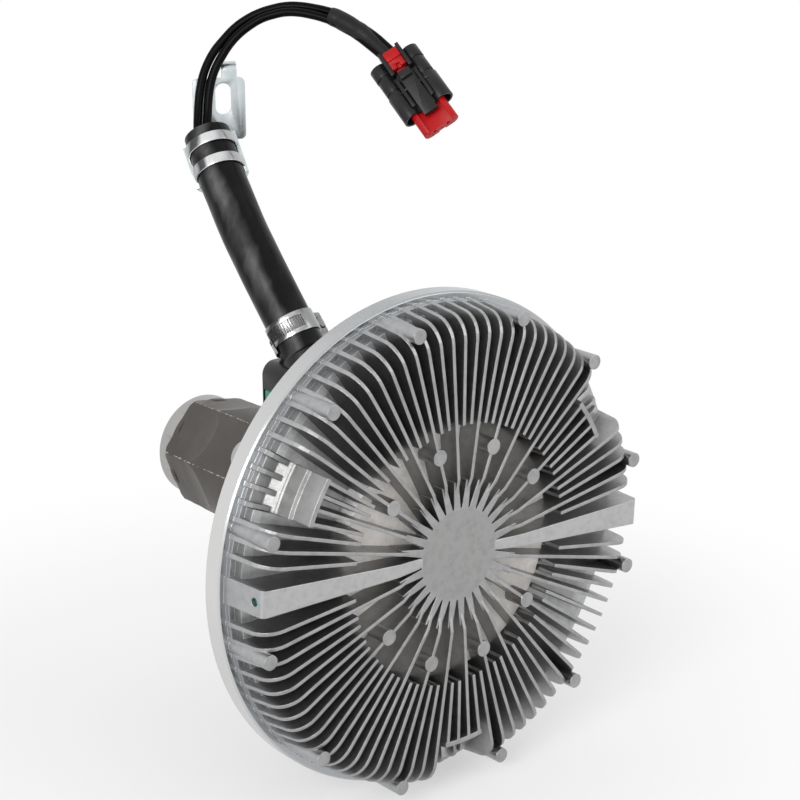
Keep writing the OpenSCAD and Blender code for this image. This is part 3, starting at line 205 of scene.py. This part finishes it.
def objectPlace(tree, scale=(1, 1, 1)):
    place = addNode(tree, "TexCoord")
    return addNode(tree, "Mapping", {"Vector": place.outputs["Object"], "Scale": scale}).outputs["Vector"]


def grain(tree, scale, detail=3, stretch=(1, 1, 1), roughness=0.6):
    return addNode(
        tree, "TexNoise",
        {"Vector": objectPlace(tree, stretch), "Scale": scale, "Detail": detail, "Roughness": roughness},
    ).outputs["Fac"]


def math2(tree, operation, a, b=0.0, clamp=False):
    return addNode(tree, "Math", {0: a, 1: b}, operation=operation, use_clamp=clamp).outputs[0]


def spread(tree, value, low, high, newLow=0.0, newHigh=1.0):
    return addNode(
        tree, "MapRange",
        {"Value": value, "From Min": low, "From Max": high, "To Min": newLow, "To Max": newHigh},
    ).outputs["Result"]


def mixColor(tree, factor, a, b, blend="MIX"):
    node = addNode(tree, "Mix", data_type="RGBA", blend_type=blend)
    for socket, value in ((node.inputs[0], factor), (node.inputs[6], a), (node.inputs[7], b)):
        if isinstance(value, bpy.types.NodeSocket):
            tree.links.new(value, socket)
        else:
            socket.default_value = (*value, 1) if isinstance(value, tuple) else value
    return node.outputs[2]


def addBump(tree, shader, height, strength, distance, rounding=None):
    bump = addNode(tree, "Bump", {"Height": height, "Strength": strength, "Distance": distance})
    if rounding:
        edge = addNode(tree, "Bevel", {"Radius": rounding}, samples=6)
        tree.links.new(edge.outputs["Normal"], bump.inputs["Normal"])
    tree.links.new(bump.outputs["Normal"], shader.inputs["Normal"])
    return bump


def link(tree, output, shader, name):
    tree.links.new(output, shader.inputs[name])


def fromAxis(tree):  # distance from the clutch's axis
    place = addNode(tree, "SeparateXYZ", {"Vector": objectPlace(tree)})
    return math2(tree, "SQRT", math2(
        tree, "ADD",
        math2(tree, "MULTIPLY", place.outputs["X"], place.outputs["X"]),
        math2(tree, "MULTIPLY", place.outputs["Z"], place.outputs["Z"]),
    )), place


def sweepNormal(tree, towards):  # how far a surface faces along a level direction, from -1 to 1
    normal = addNode(tree, "TexCoord").outputs["Normal"]
    way = (math.sin(math.radians(towards)), math.cos(math.radians(towards)), 0)
    return addNode(tree, "VectorMath", {0: normal, 1: way}, operation="DOT_PRODUCT").outputs["Value"]


castAluminium = {
    "top": (0.33, 0.33, 0.332),
    "topWorn": (0.41, 0.41, 0.412),
    "rib": (0.46, 0.46, 0.46),
    "disc": (0.34, 0.34, 0.338),
    "side": (0.4, 0.4, 0.4),
    "channelShade": (0.21, 0.207, 0.2),
    "dish": (0.95, 0.92, 0.88),
    "dishDull": (0.8, 0.76, 0.72),
    "notch": (0.5, 0.505, 0.51),
    "notchDull": (0.36, 0.362, 0.365),
    "outer": (0.44, 0.445, 0.455),
    # turned and turnedShadedSide are lit and shaded tones of the one turned rim: painted light and painted shade
    "turned": (0.66, 0.66, 0.655),
    "turnedShadedSide": (0.43, 0.445, 0.455),
    "dishRadius": 0.068,
    "discRadius": 0.0232,
    "ribClock": 93.3,
    "ribHalf": (0.0027, 0.0069),
    "rimRadius": 0.1212,
    "rimFront": -0.1972,
    "finTop": -0.2222,
    "channelFloor": -0.2035,
    "frontFacing": (-0.6, -0.92),
    "wallRadius": (0.1165, 0.1195),
    "ribRadius": (0.024, 0.09),
    "cloud": 75,
    "speckle": 260,
    "grain": 900,
    "lathe": 26000,
    "rounding": 0.0006,
}


def castMaterial(name):  # sand cast fins with painted shade that darkens their sides deeper in the channels, worn tops, stained floors and a turned rim with painted light on its left-facing side and painted shade elsewhere
    look = castAluminium
    material, tree, shader = startMaterial(name, look["top"], 1.0, 0.4)
    radius, place = fromAxis(tree)
    normal = addNode(tree, "SeparateXYZ", {"Vector": addNode(tree, "TexCoord").outputs["Normal"]})
    facing = spread(tree, normal.outputs["Y"], *look["frontFacing"])
    depth = spread(tree, place.outputs["Y"], look["finTop"], look["channelFloor"])
    cloud = grain(tree, look["cloud"], 3)
    casting = grain(tree, look["grain"], 4)
    speckle = grain(tree, look["speckle"], 3)
    outwards = math2(tree, "MULTIPLY", spread(tree, radius, *look["wallRadius"]),
                     math2(tree, "SUBTRACT", 1.0, facing))
    # painted shade: the fin sides' tone darkens with depth in the channels, where shade falls
    side = mixColor(tree, depth, look["side"], look["channelShade"])
    side = mixColor(tree, outwards, side, look["outer"])
    topTone = mixColor(tree, spread(tree, cloud, 0.35, 0.7), look["top"], look["topWorn"])
    turn = math.radians(look["ribClock"])
    offRib = math2(tree, "ABSOLUTE", math2(
        tree, "ADD",
        math2(tree, "MULTIPLY", place.outputs["X"], math.cos(turn)),
        math2(tree, "MULTIPLY", place.outputs["Z"], -math.sin(turn)),
    ))
    ribWidth = spread(tree, radius, *look["ribRadius"], *look["ribHalf"])
    topTone = mixColor(tree, math2(tree, "LESS_THAN", offRib, ribWidth), topTone, look["rib"])
    topTone = mixColor(tree, math2(tree, "LESS_THAN", radius, look["discRadius"]), topTone, look["disc"])
    stain = spread(tree, cloud, 0.38, 0.64)
    inDish = spread(tree, radius, look["dishRadius"], look["dishRadius"] - 0.003)
    floorTone = mixColor(
        tree, inDish, mixColor(tree, stain, look["notchDull"], look["notch"]),
        mixColor(tree, stain, look["dishDull"], look["dish"]))
    low = spread(tree, depth, 0.12, 0.3)
    front = mixColor(tree, low, topTone, floorTone)
    color = mixColor(tree, facing, side, front)
    chalky = math2(tree, "MULTIPLY", math2(tree, "MULTIPLY", inDish, facing), low)
    link(tree, spread(tree, chalky, 0.0, 1.0, 1.0, 0.15), shader, "Metallic")
    rim = math2(tree, "MULTIPLY", spread(tree, radius, look["rimRadius"] - 0.0003, look["rimRadius"]),
                spread(tree, place.outputs["Y"], look["rimFront"], look["rimFront"] + 0.0003))
    color = mixColor(tree, spread(tree, speckle, 0.45, 0.75, 0.0, 0.2), color, (0.2, 0.2, 0.2), "MULTIPLY")
    # painted light and shade: the turned rim is lighter where it faces left, towards the key lamp, and darker where it
    # faces elsewhere
    rimLitAndShadedTone = mixColor(tree, spread(tree, normal.outputs["X"], -0.2, -0.9), look["turnedShadedSide"], look["turned"])
    color = mixColor(tree, rim, color, rimLitAndShadedTone)
    link(tree, color, shader, "Base Color")
    rough = math2(tree, "ADD", spread(tree, casting, 0.25, 0.75, 0.3, 0.46),
                  math2(tree, "MULTIPLY", outwards, 0.14))
    turned = spread(tree, cloud, 0.3, 0.7, 0.2, 0.27)
    link(tree, math2(tree, "ADD", rough, math2(
        tree, "MULTIPLY", rim, math2(tree, "SUBTRACT", turned, rough))), shader, "Roughness")
    lathe = math2(tree, "SINE", math2(tree, "MULTIPLY", place.outputs["Y"], look["lathe"]))
    height = math2(tree, "ADD", math2(tree, "MULTIPLY", casting, math2(tree, "SUBTRACT", 1.0, rim)),
                   math2(tree, "MULTIPLY", math2(tree, "MULTIPLY", lathe, rim), 0.05))
    addBump(tree, shader, height, 0.22, 0.0003, look["rounding"])
    return material


forgedSteel = {
    "brown": (0.098, 0.09, 0.083),
    "brownWorn": (0.118, 0.109, 0.101),
    "turned": (0.42, 0.415, 0.405),
    "edge": (0.5, 0.49, 0.47),
    "turnedFront": -0.0145,
    "cornerAngle": 9.5,
    "cornerFrom": 0.0302,
    "cornerWearAndHighlight": (0.011, 0.005),
    "lathe": 18000,
}


def shaftMaterial(name):  # browned forging, bright where it was turned, rubbed along the hexagon's corners and painted lighter there as an edge highlight
    look = forgedSteel
    material, tree, shader = startMaterial(name, look["brown"], 1.0, 0.45)
    radius, place = fromAxis(tree)
    turned = spread(tree, place.outputs["Y"], look["turnedFront"], look["turnedFront"] + 0.0002)
    turn = math2(tree, "ARCTAN2", place.outputs["X"], place.outputs["Z"])
    sixth = math2(tree, "ADD", math2(tree, "DIVIDE", turn, math.radians(60)), look["cornerAngle"] / -60 + 6.5)
    offCorner = math2(tree, "ABSOLUTE", math2(tree, "SUBTRACT", math2(tree, "FRACT", sixth), 0.5))
    offCorner = math2(tree, "ABSOLUTE", math2(tree, "SUBTRACT", offCorner, 0.5))
    # partly real wear, partly painted highlight: the hexagon's corners are lightened in dashes
    cornerWearAndHighlightMask = math2(tree, "MULTIPLY", spread(tree, offCorner, *look["cornerWearAndHighlight"]),
                   spread(tree, radius, look["cornerFrom"], look["cornerFrom"] + 0.0006))
    cornerWearAndHighlightMask = math2(tree, "MULTIPLY", cornerWearAndHighlightMask, spread(tree, grain(tree, 500, 2), 0.45, 0.6))
    tone = mixColor(tree, spread(tree, grain(tree, 45, 3), 0.35, 0.7), look["brown"], look["brownWorn"])
    tone = mixColor(tree, cornerWearAndHighlightMask, tone, look["edge"])
    link(tree, mixColor(tree, turned, tone, look["turned"]), shader, "Base Color")
    fine = grain(tree, 1100, 3)
    link(tree, spread(tree, fine, 0.25, 0.75, 0.36, 0.52), shader, "Roughness")
    lathe = math2(tree, "SINE", math2(tree, "MULTIPLY", place.outputs["Y"], look["lathe"]))
    height = math2(tree, "ADD", fine, math2(tree, "MULTIPLY", math2(tree, "MULTIPLY", lathe, turned), 0.2))
    addBump(tree, shader, height, 0.12, 0.0002)
    return material


def metalMaterial(name, color, worn, rough, scale, fine=1400, stretch=(1, 1, 1), bump=0.1):
    material, tree, shader = startMaterial(name, color, 1.0, rough)
    patches = spread(tree, grain(tree, scale, 3, stretch), 0.35, 0.7)
    link(tree, mixColor(tree, patches, color, worn), shader, "Base Color")
    scratches = grain(tree, fine, 3, stretch)
    link(tree, spread(tree, scratches, 0.25, 0.75, rough - 0.06, rough + 0.1), shader, "Roughness")
    addBump(tree, shader, scratches, bump, 0.0002)
    return material


bandSteel = {
    "towards": 129.7,
    # painted reflection stripes: places along the facing sweep and their tones
    "reflectionStripes": [
        (0.0, 0.3), (0.07, 0.5), (0.14, 0.07), (0.25, 0.12),
        (0.34, 0.78), (0.58, 0.72), (0.72, 0.42), (1.0, 0.5),
    ],
    # painted shade colour for the pressed slots
    "slot": (0.06, 0.055, 0.05),
    "cleftReach": 0.0015,
    "cleftShade": (0.96, 0.72),
}


def bandMaterial(name, shine, paintShadeInClefts):  # polished strip with painted reflection stripes set by which way its surface faces across the view, and painted shade in its pressed slots
    look = bandSteel
    material, tree, shader = startMaterial(name, (0.6, 0.6, 0.6), 1.0, 0.2)
    streak = addNode(tree, "TexNoise", {
        "Vector": objectPlace(tree, (1, 0.3, 0.3)), "Scale": 150, "Detail": 2, "Roughness": 0.5}).outputs["Fac"]
    # painted reflections: the tone bands follow the surface's facing across the view, not the steel itself
    turned = math2(tree, "ADD", spread(tree, sweepNormal(tree, look["towards"]), -1.0, 1.0),
                   spread(tree, streak, 0.3, 0.7, -0.05, 0.05))
    paintedReflectionRamp = addNode(tree, "ValToRGB", {"Fac": turned})
    stops = paintedReflectionRamp.color_ramp.elements
    while len(stops) < len(look["reflectionStripes"]):
        stops.new(0.5)
    for stop, (place, tone) in zip(stops, look["reflectionStripes"]):
        stop.position = place
        stop.color = (tone * shine, tone * shine * 1.015, tone * shine * 1.03, 1)
    tone = paintedReflectionRamp.outputs["Color"]
    if paintShadeInClefts:
        # painted shade: ambient occlusion darkens the pressed slots and other clefts towards the slot colour
        shade = addNode(tree, "AmbientOcclusion", {"Distance": look["cleftReach"]}, samples=8).outputs["AO"]
        tone = mixColor(tree, spread(tree, shade, *look["cleftShade"]), tone, look["slot"])
    link(tree, tone, shader, "Base Color")
    scratches = grain(tree, 900, 3, (1, 0.3, 0.3))
    link(tree, spread(tree, scratches, 0.25, 0.75, 0.16, 0.3), shader, "Roughness")
    addBump(tree, shader, scratches, 0.05, 0.0002)
    return material


def plasticMaterial(name, color, pale, rough, gloss=0.5, fine=2600, bump=0.1):
    material, tree, shader = startMaterial(name, color, 0.0, rough)
    shader.inputs["Specular IOR Level"].default_value = gloss
    dust = spread(tree, grain(tree, 130, 4), 0.45, 0.8)
    link(tree, mixColor(tree, dust, color, pale), shader, "Base Color")
    texture = grain(tree, fine, 2)
    link(tree, spread(tree, texture, 0.3, 0.7, rough - 0.05, rough + 0.08), shader, "Roughness")
    addBump(tree, shader, texture, bump, 0.0002)
    return material


hoseRubber = {
    "dark": (0.003, 0.003, 0.003),
    "dusty": (0.009, 0.009, 0.009),
    "sheenTone": (0.11, 0.11, 0.11),
    "towards": 129.7,
    "ripple": (70, 0.0016),
    "gloss": 0.14,
}


def rubberMaterial(name):  # shiny rubber with soft ripples, handling marks and a painted sheen where the surface faces the view a little left of its middle
    look = hoseRubber
    material, tree, shader = startMaterial(name, look["dark"], 0.0, 0.3)
    shader.inputs["Specular IOR Level"].default_value = look["gloss"]
    marks = grain(tree, 90, 3, (1, 1, 0.35))
    # painted sheen: a lighter streak placed by which way the surface faces across the view, broken up by the handling
    # marks
    across = math2(tree, "ADD", sweepNormal(tree, look["towards"]),
                   spread(tree, grain(tree, 60, 2, (1, 1, 0.5)), 0.3, 0.7, 0.15, 0.45))
    paintedSheen = spread(tree, math2(tree, "ABSOLUTE", across), 0.4, 0.05)
    paintedSheen = math2(tree, "MULTIPLY", paintedSheen, spread(tree, sweepNormal(tree, look["towards"] + 90), 0.0, 0.5))
    paintedSheen = math2(tree, "MULTIPLY", paintedSheen, spread(tree, marks, 0.35, 0.65, 0.35, 1.0))
    tone = mixColor(tree, spread(tree, marks, 0.45, 0.75), look["dark"], look["dusty"])
    link(tree, mixColor(tree, paintedSheen, tone, look["sheenTone"]), shader, "Base Color")
    link(tree, spread(tree, marks, 0.3, 0.7, 0.2, 0.38), shader, "Roughness")
    scale, depth = look["ripple"]
    ripple = grain(tree, scale, 2, (1, 1, 0.4), 0.45)
    fine = addNode(tree, "Bump", {"Height": grain(tree, 1800, 2), "Strength": 0.08, "Distance": 0.0002})
    soft = addNode(tree, "Bump", {
        "Height": ripple, "Strength": 0.5, "Distance": depth, "Normal": fine.outputs["Normal"]})
    link(tree, soft.outputs["Normal"], shader, "Normal")
    return material


materials = {
    "cover": castMaterial("cast and turned aluminium"),
    "body": metalMaterial("cast aluminium", (0.4, 0.4, 0.405), (0.5, 0.5, 0.505), 0.4, 80, 900),
    "shaft": shaftMaterial("browned and turned steel"),
    "darkSteel": metalMaterial("dark steel", (0.2, 0.2, 0.21), (0.27, 0.27, 0.28), 0.38, 120),
    "springSteel": metalMaterial("spring steel", (0.45, 0.46, 0.48), (0.52, 0.53, 0.54), 0.3, 160),
    "bearingSteel": metalMaterial("ground bearing steel", (0.6, 0.61, 0.63), (0.65, 0.66, 0.67), 0.16, 90),
    "brass": metalMaterial("bearing cage brass", (0.6, 0.42, 0.16), (0.68, 0.5, 0.22), 0.3, 140),
    "zinc": metalMaterial("zinc plated sheet", (0.54, 0.59, 0.605), (0.66, 0.7, 0.71),
                          0.3, 110, 900, (3, 1, 1), 0.08),
    "band": bandMaterial("bright steel band", 0.68, True),
    "strap": bandMaterial("bright steel strap", 0.95, False),
    "screw": metalMaterial("plated screw", (0.2, 0.2, 0.2), (0.3, 0.3, 0.3), 0.26, 200, 900),
    "copper": metalMaterial("enamelled copper", (0.55, 0.2, 0.07), (0.62, 0.27, 0.1), 0.25, 400),
    "blackPlastic": plasticMaterial("black glass filled plastic", (0.006, 0.006, 0.007), (0.014, 0.014, 0.015),
                                    0.32, 0.34),
    "naturalPlastic": plasticMaterial("natural nylon", (0.7, 0.66, 0.55), (0.76, 0.73, 0.65), 0.45),
    "red": plasticMaterial("red glass filled plastic", (0.4, 0.003, 0.005), (0.46, 0.006, 0.009), 0.36, 0.25),
    "rubber": rubberMaterial("hose rubber"),
    "brownRubber": plasticMaterial("seal rubber", (0.1, 0.03, 0.015), (0.14, 0.05, 0.03), 0.5, 0.4, 1800),
    "green": plasticMaterial("green silicone seal", (0.008, 0.2, 0.125), (0.015, 0.27, 0.18), 0.33, 0.5, 1500),
    "conduit": plasticMaterial("conduit plastic", (0.0015, 0.0015, 0.0017), (0.003, 0.003, 0.003),
                               0.3, 0.07, 1500, 0.015),
    "sleeve": plasticMaterial("shrink sleeve", (0.006, 0.006, 0.006), (0.013, 0.013, 0.013),
                              0.5, 0.25, 1200, 0.12),
}

finishes = {
    "cover": ["front_cover"],
    "body": ["rear_body", "rotor"],
    "shaft": ["drive_shaft"],
    "darkSteel": ["rotor_pole_ring", "rotor_nut", "body_pole_ring", "speed_ring", "coil_cup", "armature",
                  "main_bearing_circlip", "coil_shaft_circlip", "coil_cup_circlip", "bearing_spacer", "cover_screws"],
    "springSteel": ["valve_arm", "valve_spring", "pivot_pin", "plate_screws", "reservoir_plate"],
    "bearingSteel": ["main_bearing_inner", "main_bearing_outer", "main_bearing_balls",
                     "coil_bearing_inner", "coil_bearing_outer", "coil_bearing_balls"],
    "brass": ["main_bearing_cage", "coil_bearing_cage", "connector_terminals"],
    "band": ["clamp_band"],
    "strap": ["bracket_straps"],
    "screw": ["clamp_housing", "clamp_screw"],
    "zinc": ["bracket"],
    "copper": ["coil_winding"],
    "naturalPlastic": ["coil_bobbin"],
    "blackPlastic": ["coil_moulding", "speed_sensor", "connector_body", "connector_latch"],
    "rubber": ["hose", "hose_bush", "cover_seal", "valve_pad"],
    "brownRubber": ["shaft_seal", "wire_seal"],
    "conduit": ["hose_lead", "shrink_sleeve"],
    "green": ["passage_plugs", "box_seal"],
    "red": ["connector_lock", "connector_nose"],
}


def dress(piece, material):
    piece.data.materials.clear()
    piece.data.materials.append(material)


for finish, names in finishes.items():
    for name in names:
        node = nodes[name]
        for slot in node.material_slots:
            slot.material = materials[finish]
for tube in conduits.values():
    dress(tube, materials["conduit"])
print("materials assigned")

# copies of CAD castings, pressings and mouldings, merged, with their edges broken


def finishPiece(piece, nodeName, body, finish):
    dress(piece, materials[finish])
    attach(piece, body)
    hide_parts(nodeName)
    return piece


def fromCad(plan):
    mesh = nodes[plan["node"]].data.copy()
    piece = bpy.data.objects.new(plan["name"], mesh)
    mesh.name = plan["name"]
    bpy.context.scene.collection.objects.link(piece)
    pick(piece)
    bpy.ops.object.mode_set(mode="EDIT")
    bpy.ops.mesh.select_all(action="SELECT")
    bpy.ops.mesh.remove_doubles(threshold=0.000002)
    bpy.ops.mesh.dissolve_limited(angle_limit=math.radians(0.6))
    bpy.ops.object.mode_set(mode="OBJECT")
    applyModifier(piece, "BEVEL", width=plan["edge"], segments=plan["segments"], limit_method="ANGLE",
                  angle_limit=math.radians(plan["angle"]), miter_outer="MITER_ARC")
    smooth(piece, plan["smooth"])
    return finishPiece(piece, plan["node"], plan["body"], plan["finish"])


shaftPlan = {
    "node": "drive_shaft", "name": "forgedShaft", "body": "shaft", "slot": "shaft_steel", "finish": "shaft",
    "edge": 0.0004, "segments": 2, "angle": 18, "smooth": 35,
}
bracketPlan = {
    "node": "bracket", "name": "pressedBracket", "body": "coil_carrier", "slot": "zinc_steel", "finish": "zinc",
    "edge": 0.00035, "segments": 2, "angle": 35, "smooth": 40,
}
strapPlan = {
    "node": "bracket_straps", "name": "hoseStraps", "body": "coil_carrier", "slot": "zinc_steel", "finish": "strap",
    "edge": 0.0004, "segments": 3, "angle": 35, "smooth": 40,
}
bandPlan = {
    "node": "clamp_band", "name": "slottedBand", "body": "coil_carrier", "slot": "zinc_steel", "finish": "band",
    "edge": 0.00015, "segments": 2, "angle": 35, "smooth": 40,
}
wormHousingPlan = {
    "node": "clamp_housing", "name": "wormHousing", "body": "coil_carrier", "slot": "zinc_steel", "finish": "screw",
    "edge": 0.0007, "segments": 3, "angle": 40, "smooth": 50,
}
wormPlan = {
    "node": "clamp_screw", "name": "wormScrew", "body": "worm_screw", "slot": "zinc_steel", "finish": "screw",
    "edge": 0.0003, "segments": 2, "angle": 35, "smooth": 50,
}
mouldingPlan = {
    "node": "coil_moulding", "name": "coilMoulding", "body": "coil_carrier", "slot": "black_plastic",
    "finish": "blackPlastic", "edge": 0.0006, "segments": 3, "angle": 35, "smooth": 40,
}
boxSealPlan = {
    "node": "box_seal", "name": "boxSeal", "body": "coil_carrier", "slot": "green_rubber", "finish": "green",
    "edge": 0.0012, "segments": 4, "angle": 35, "smooth": 60,
}
plugPlan = {
    "node": "passage_plugs", "name": "passagePlugs", "body": "housing", "slot": "green_rubber", "finish": "green",
    "edge": 0.0009, "segments": 4, "angle": 35, "smooth": 60,
}
wireSealPlan = {
    "node": "wire_seal", "name": "wireSeal", "body": "coil_carrier", "slot": "seal_rubber", "finish": "brownRubber",
    "edge": 0.0006, "segments": 3, "angle": 35, "smooth": 60,
}
connectorPlan = {
    "node": "connector_body", "name": "connectorHousing", "body": "coil_carrier", "slot": "black_plastic",
    "finish": "blackPlastic", "edge": 0.00035, "segments": 2, "angle": 35, "smooth": 40,
}
latchPlan = {
    "node": "connector_latch", "name": "rockingLatch", "body": "latch", "slot": "black_plastic",
    "finish": "blackPlastic", "edge": 0.0004, "segments": 2, "angle": 35, "smooth": 40,
}
lockPlan = {
    "node": "connector_lock", "name": "slidingLock", "body": "latch_lock", "slot": "red_plastic", "finish": "red",
    "edge": 0.0003, "segments": 2, "angle": 35, "smooth": 40,
}
nosePlan = {
    "node": "connector_nose", "name": "terminalNose", "body": "nose_lock", "slot": "red_plastic", "finish": "red",
    "edge": 0.00035, "segments": 2, "angle": 35, "smooth": 40,
}
for plan in (shaftPlan, bracketPlan, strapPlan, bandPlan, wormHousingPlan, wormPlan, mouldingPlan,
             boxSealPlan, plugPlan, wireSealPlan, connectorPlan, latchPlan, lockPlan, nosePlan):
    fromCad(plan)
    print("made", plan["name"])

# the hose: a swept rubber wall with a soft edge at its mouth

hosePlan = {
    "radius": 0.01215,
    "wall": 0.0034,
    "lip": 0.0008,
    "points": [
        (-0.012, -0.118, 0.08), (-0.0135, -0.1, 0.102), (-0.014, -0.0935, 0.11), (-0.0145, -0.087, 0.118),
        (-0.0145, -0.08, 0.126), (-0.0145, -0.073, 0.134), (-0.014, -0.066, 0.142), (-0.013, -0.058, 0.151),
        (-0.012, -0.0495, 0.1605), (-0.0085, -0.033, 0.179),
    ],
    "bushDrop": 0.002,
    "bushLength": 0.007,
    "bushRings": [(0.0012, 0.0006), (0.0022, -0.0004), (0.0018, -0.0003)],
}
hoseHead = alongAxis(hosePlan["points"][-1], Vector(hosePlan["points"][-1]) - Vector(hosePlan["points"][-2]))


def weldTube(curve):  # turns a curve into a closed mesh with its normals outward
    pick(curve)
    bpy.ops.object.convert(target="MESH")
    piece = bpy.context.object
    bpy.ops.object.mode_set(mode="EDIT")
    bpy.ops.mesh.select_all(action="SELECT")
    bpy.ops.mesh.remove_doubles(threshold=0.00001)
    bpy.ops.mesh.normals_make_consistent(inside=False)
    bpy.ops.object.mode_set(mode="OBJECT")
    return piece


def makeHose():
    hose = tubeAlong("hoseWall", hosePlan["points"], hosePlan["radius"], 10)
    hose.data.use_fill_caps = False
    hose = weldTube(hose)
    applyModifier(hose, "SOLIDIFY", thickness=hosePlan["wall"], offset=-1)
    applyModifier(hose, "BEVEL", width=hosePlan["lip"], segments=3, limit_method="ANGLE", angle_limit=math.radians(50))
    smooth(hose, 60)
    return hose


def makeBush():
    deselectAll()
    bpy.ops.mesh.primitive_cylinder_add(
        vertices=48, radius=hosePlan["radius"] - hosePlan["wall"] - 0.0001, depth=hosePlan["bushLength"],
        location=(0, 0, -hosePlan["bushDrop"] - hosePlan["bushLength"] / 2))
    bush = bpy.context.object
    bush.name = "hoseBush"
    settle(bush)
    bpy.ops.object.mode_set(mode="EDIT")
    bpy.ops.mesh.select_all(action="DESELECT")
    bpy.ops.object.mode_set(mode="OBJECT")
    top = max(bush.data.polygons, key=lambda face: face.center.z)
    top.select = True
    bpy.ops.object.mode_set(mode="EDIT")
    bpy.ops.mesh.select_mode(type="FACE")
    for width, drop in hosePlan["bushRings"]:
        bpy.ops.mesh.inset(thickness=width, depth=drop)
    bpy.ops.object.mode_set(mode="OBJECT")
    applyModifier(bush, "BEVEL", width=0.0003, segments=2, limit_method="ANGLE", angle_limit=math.radians(40))
    smooth(bush)
    return placeAt(bush, hoseHead)


finishPiece(makeHose(), "hose", "coil_carrier", "rubber")
finishPiece(makeBush(), "hose_bush", "coil_carrier", "rubber")
print("hose made")

# the shrink sleeve over both conduits

sleevePlan = {
    "radius": 0.0048,
    "points": [
        (0.048, -0.066, 0.238), (0.0493, -0.068, 0.23713), (0.0505, -0.07, 0.23625), (0.0518, -0.073, 0.23488),
        (0.053, -0.07592, 0.2335), (0.0542, -0.0789, 0.232), (0.05533, -0.08183, 0.2305), (0.0562, -0.0844, 0.229),
        (0.057, -0.087, 0.2275), (0.0583, -0.0925, 0.2241), (0.0598, -0.098, 0.2205),
    ],
    "swell": [0.93, 1.0, 0.99, 1.01, 1.0, 0.96, 1.0, 0.9, 0.8, 0.72, 0.7],
}


def makeSleeve():
    sleeve = tubeAlong("shrinkSleeve", sleevePlan["points"], sleevePlan["radius"], 8)
    for knot, swell in zip(sleeve.data.splines[0].bezier_points, sleevePlan["swell"]):
        knot.radius = swell
    sleeve = weldTube(sleeve)
    applyModifier(sleeve, "BEVEL", width=0.0005, segments=3, limit_method="ANGLE", angle_limit=math.radians(50))
    smooth(sleeve, 60)
    return sleeve


sleeve = makeSleeve()
finishPiece(sleeve, "shrink_sleeve", "coil_carrier", "sleeve")
print("sleeve made")

# stage: floor, backdrop and lights

stagePlan = {
    "floorHeight": -0.1255,
    "floorTone": 0.93,
    "clearing": (0.17, 0.4),
    "bleach": 0.45,
    "target": (0, -0.15, 0),
    "keyPlace": (-1.5, -0.9, 0.75),
    "keySize": 0.9,
    "keyPower": 17,
    "fillPlace": (0.9, -1.5, 0.7),
    "fillSize": 1.2,
    "fillPower": 6,
    "worldTone": 0.72,
}

deselectAll()
bpy.ops.mesh.primitive_plane_add(size=12, location=(0, 0, stagePlan["floorHeight"]))
floor = bpy.context.object
floor.name = "floor"
settle(floor)


def floorMaterial():
    tone = stagePlan["floorTone"]
    material, tree, shader = startMaterial("pale floor", (tone, tone, tone), 0.0, 0.7)
    shader.inputs["Specular IOR Level"].default_value = 0.1
    place = addNode(tree, "SeparateXYZ", {"Vector": objectPlace(tree)})
    reach = math2(tree, "SQRT", math2(
        tree, "ADD",
        math2(tree, "POWER", math2(tree, "ABSOLUTE", place.outputs["X"]), 2.0),
        math2(tree, "POWER", math2(tree, "ABSOLUTE", math2(tree, "ADD", place.outputs["Y"], 0.1)), 2.0),
    ))
    away = addNode(tree, "MapRange", {
        "Value": reach, "From Min": stagePlan["clearing"][0], "From Max": stagePlan["clearing"][1]},
        interpolation_type="SMOOTHSTEP").outputs["Result"]
    rays = addNode(tree, "LightPath")
    seen = math2(tree, "MAXIMUM", rays.outputs["Is Camera Ray"], math2(
        tree, "MAXIMUM", rays.outputs["Is Glossy Ray"], rays.outputs["Is Transmission Ray"]))
    white = addNode(tree, "Emission", {"Color": (1, 1, 1, 1), "Strength": 1.0})
    mix = addNode(tree, "MixShader", {
        0: math2(tree, "MULTIPLY", spread(tree, away, 0.0, 1.0, stagePlan["bleach"], 1.0), seen),
        1: shader.outputs[0], 2: white.outputs[0]})
    tree.links.new(mix.outputs[0], tree.nodes["Material Output"].inputs["Surface"])
    return material


dress(floor, floorMaterial())

world = bpy.data.worlds.new("studio")
bpy.context.scene.world = world
world.use_nodes = True
sky = world.node_tree
rays = addNode(sky, "LightPath")
seen = math2(sky, "MAXIMUM", rays.outputs["Is Camera Ray"], math2(
    sky, "MAXIMUM", rays.outputs["Is Glossy Ray"], rays.outputs["Is Transmission Ray"]))
dim = sky.nodes["Background"]
dim.inputs["Color"].default_value = (1, 1, 1, 1)
dim.inputs["Strength"].default_value = stagePlan["worldTone"]
bright = addNode(sky, "Background", {"Color": (1, 1, 1, 1), "Strength": 1.0})
mix = addNode(sky, "MixShader", {0: seen, 1: dim.outputs[0], 2: bright.outputs[0]})
sky.links.new(mix.outputs[0], sky.nodes["World Output"].inputs["Surface"])


def areaLight(name, place, target, size, power):
    deselectAll()
    bpy.ops.object.light_add(type="AREA", location=place)
    lamp = bpy.context.object
    lamp.name = name
    lamp.data.size = size
    lamp.data.energy = power
    lamp.rotation_euler = (Vector(target) - Vector(place)).to_track_quat("-Z", "Y").to_euler()
    return lamp


for lamp in ("key", "fill"):
    areaLight(lamp + "Light", stagePlan[lamp + "Place"], stagePlan["target"],
              stagePlan[lamp + "Size"], stagePlan[lamp + "Power"])
bpy.context.scene.view_settings.view_transform = "Standard"
print("stage set")

bpy.context.view_layer.update()
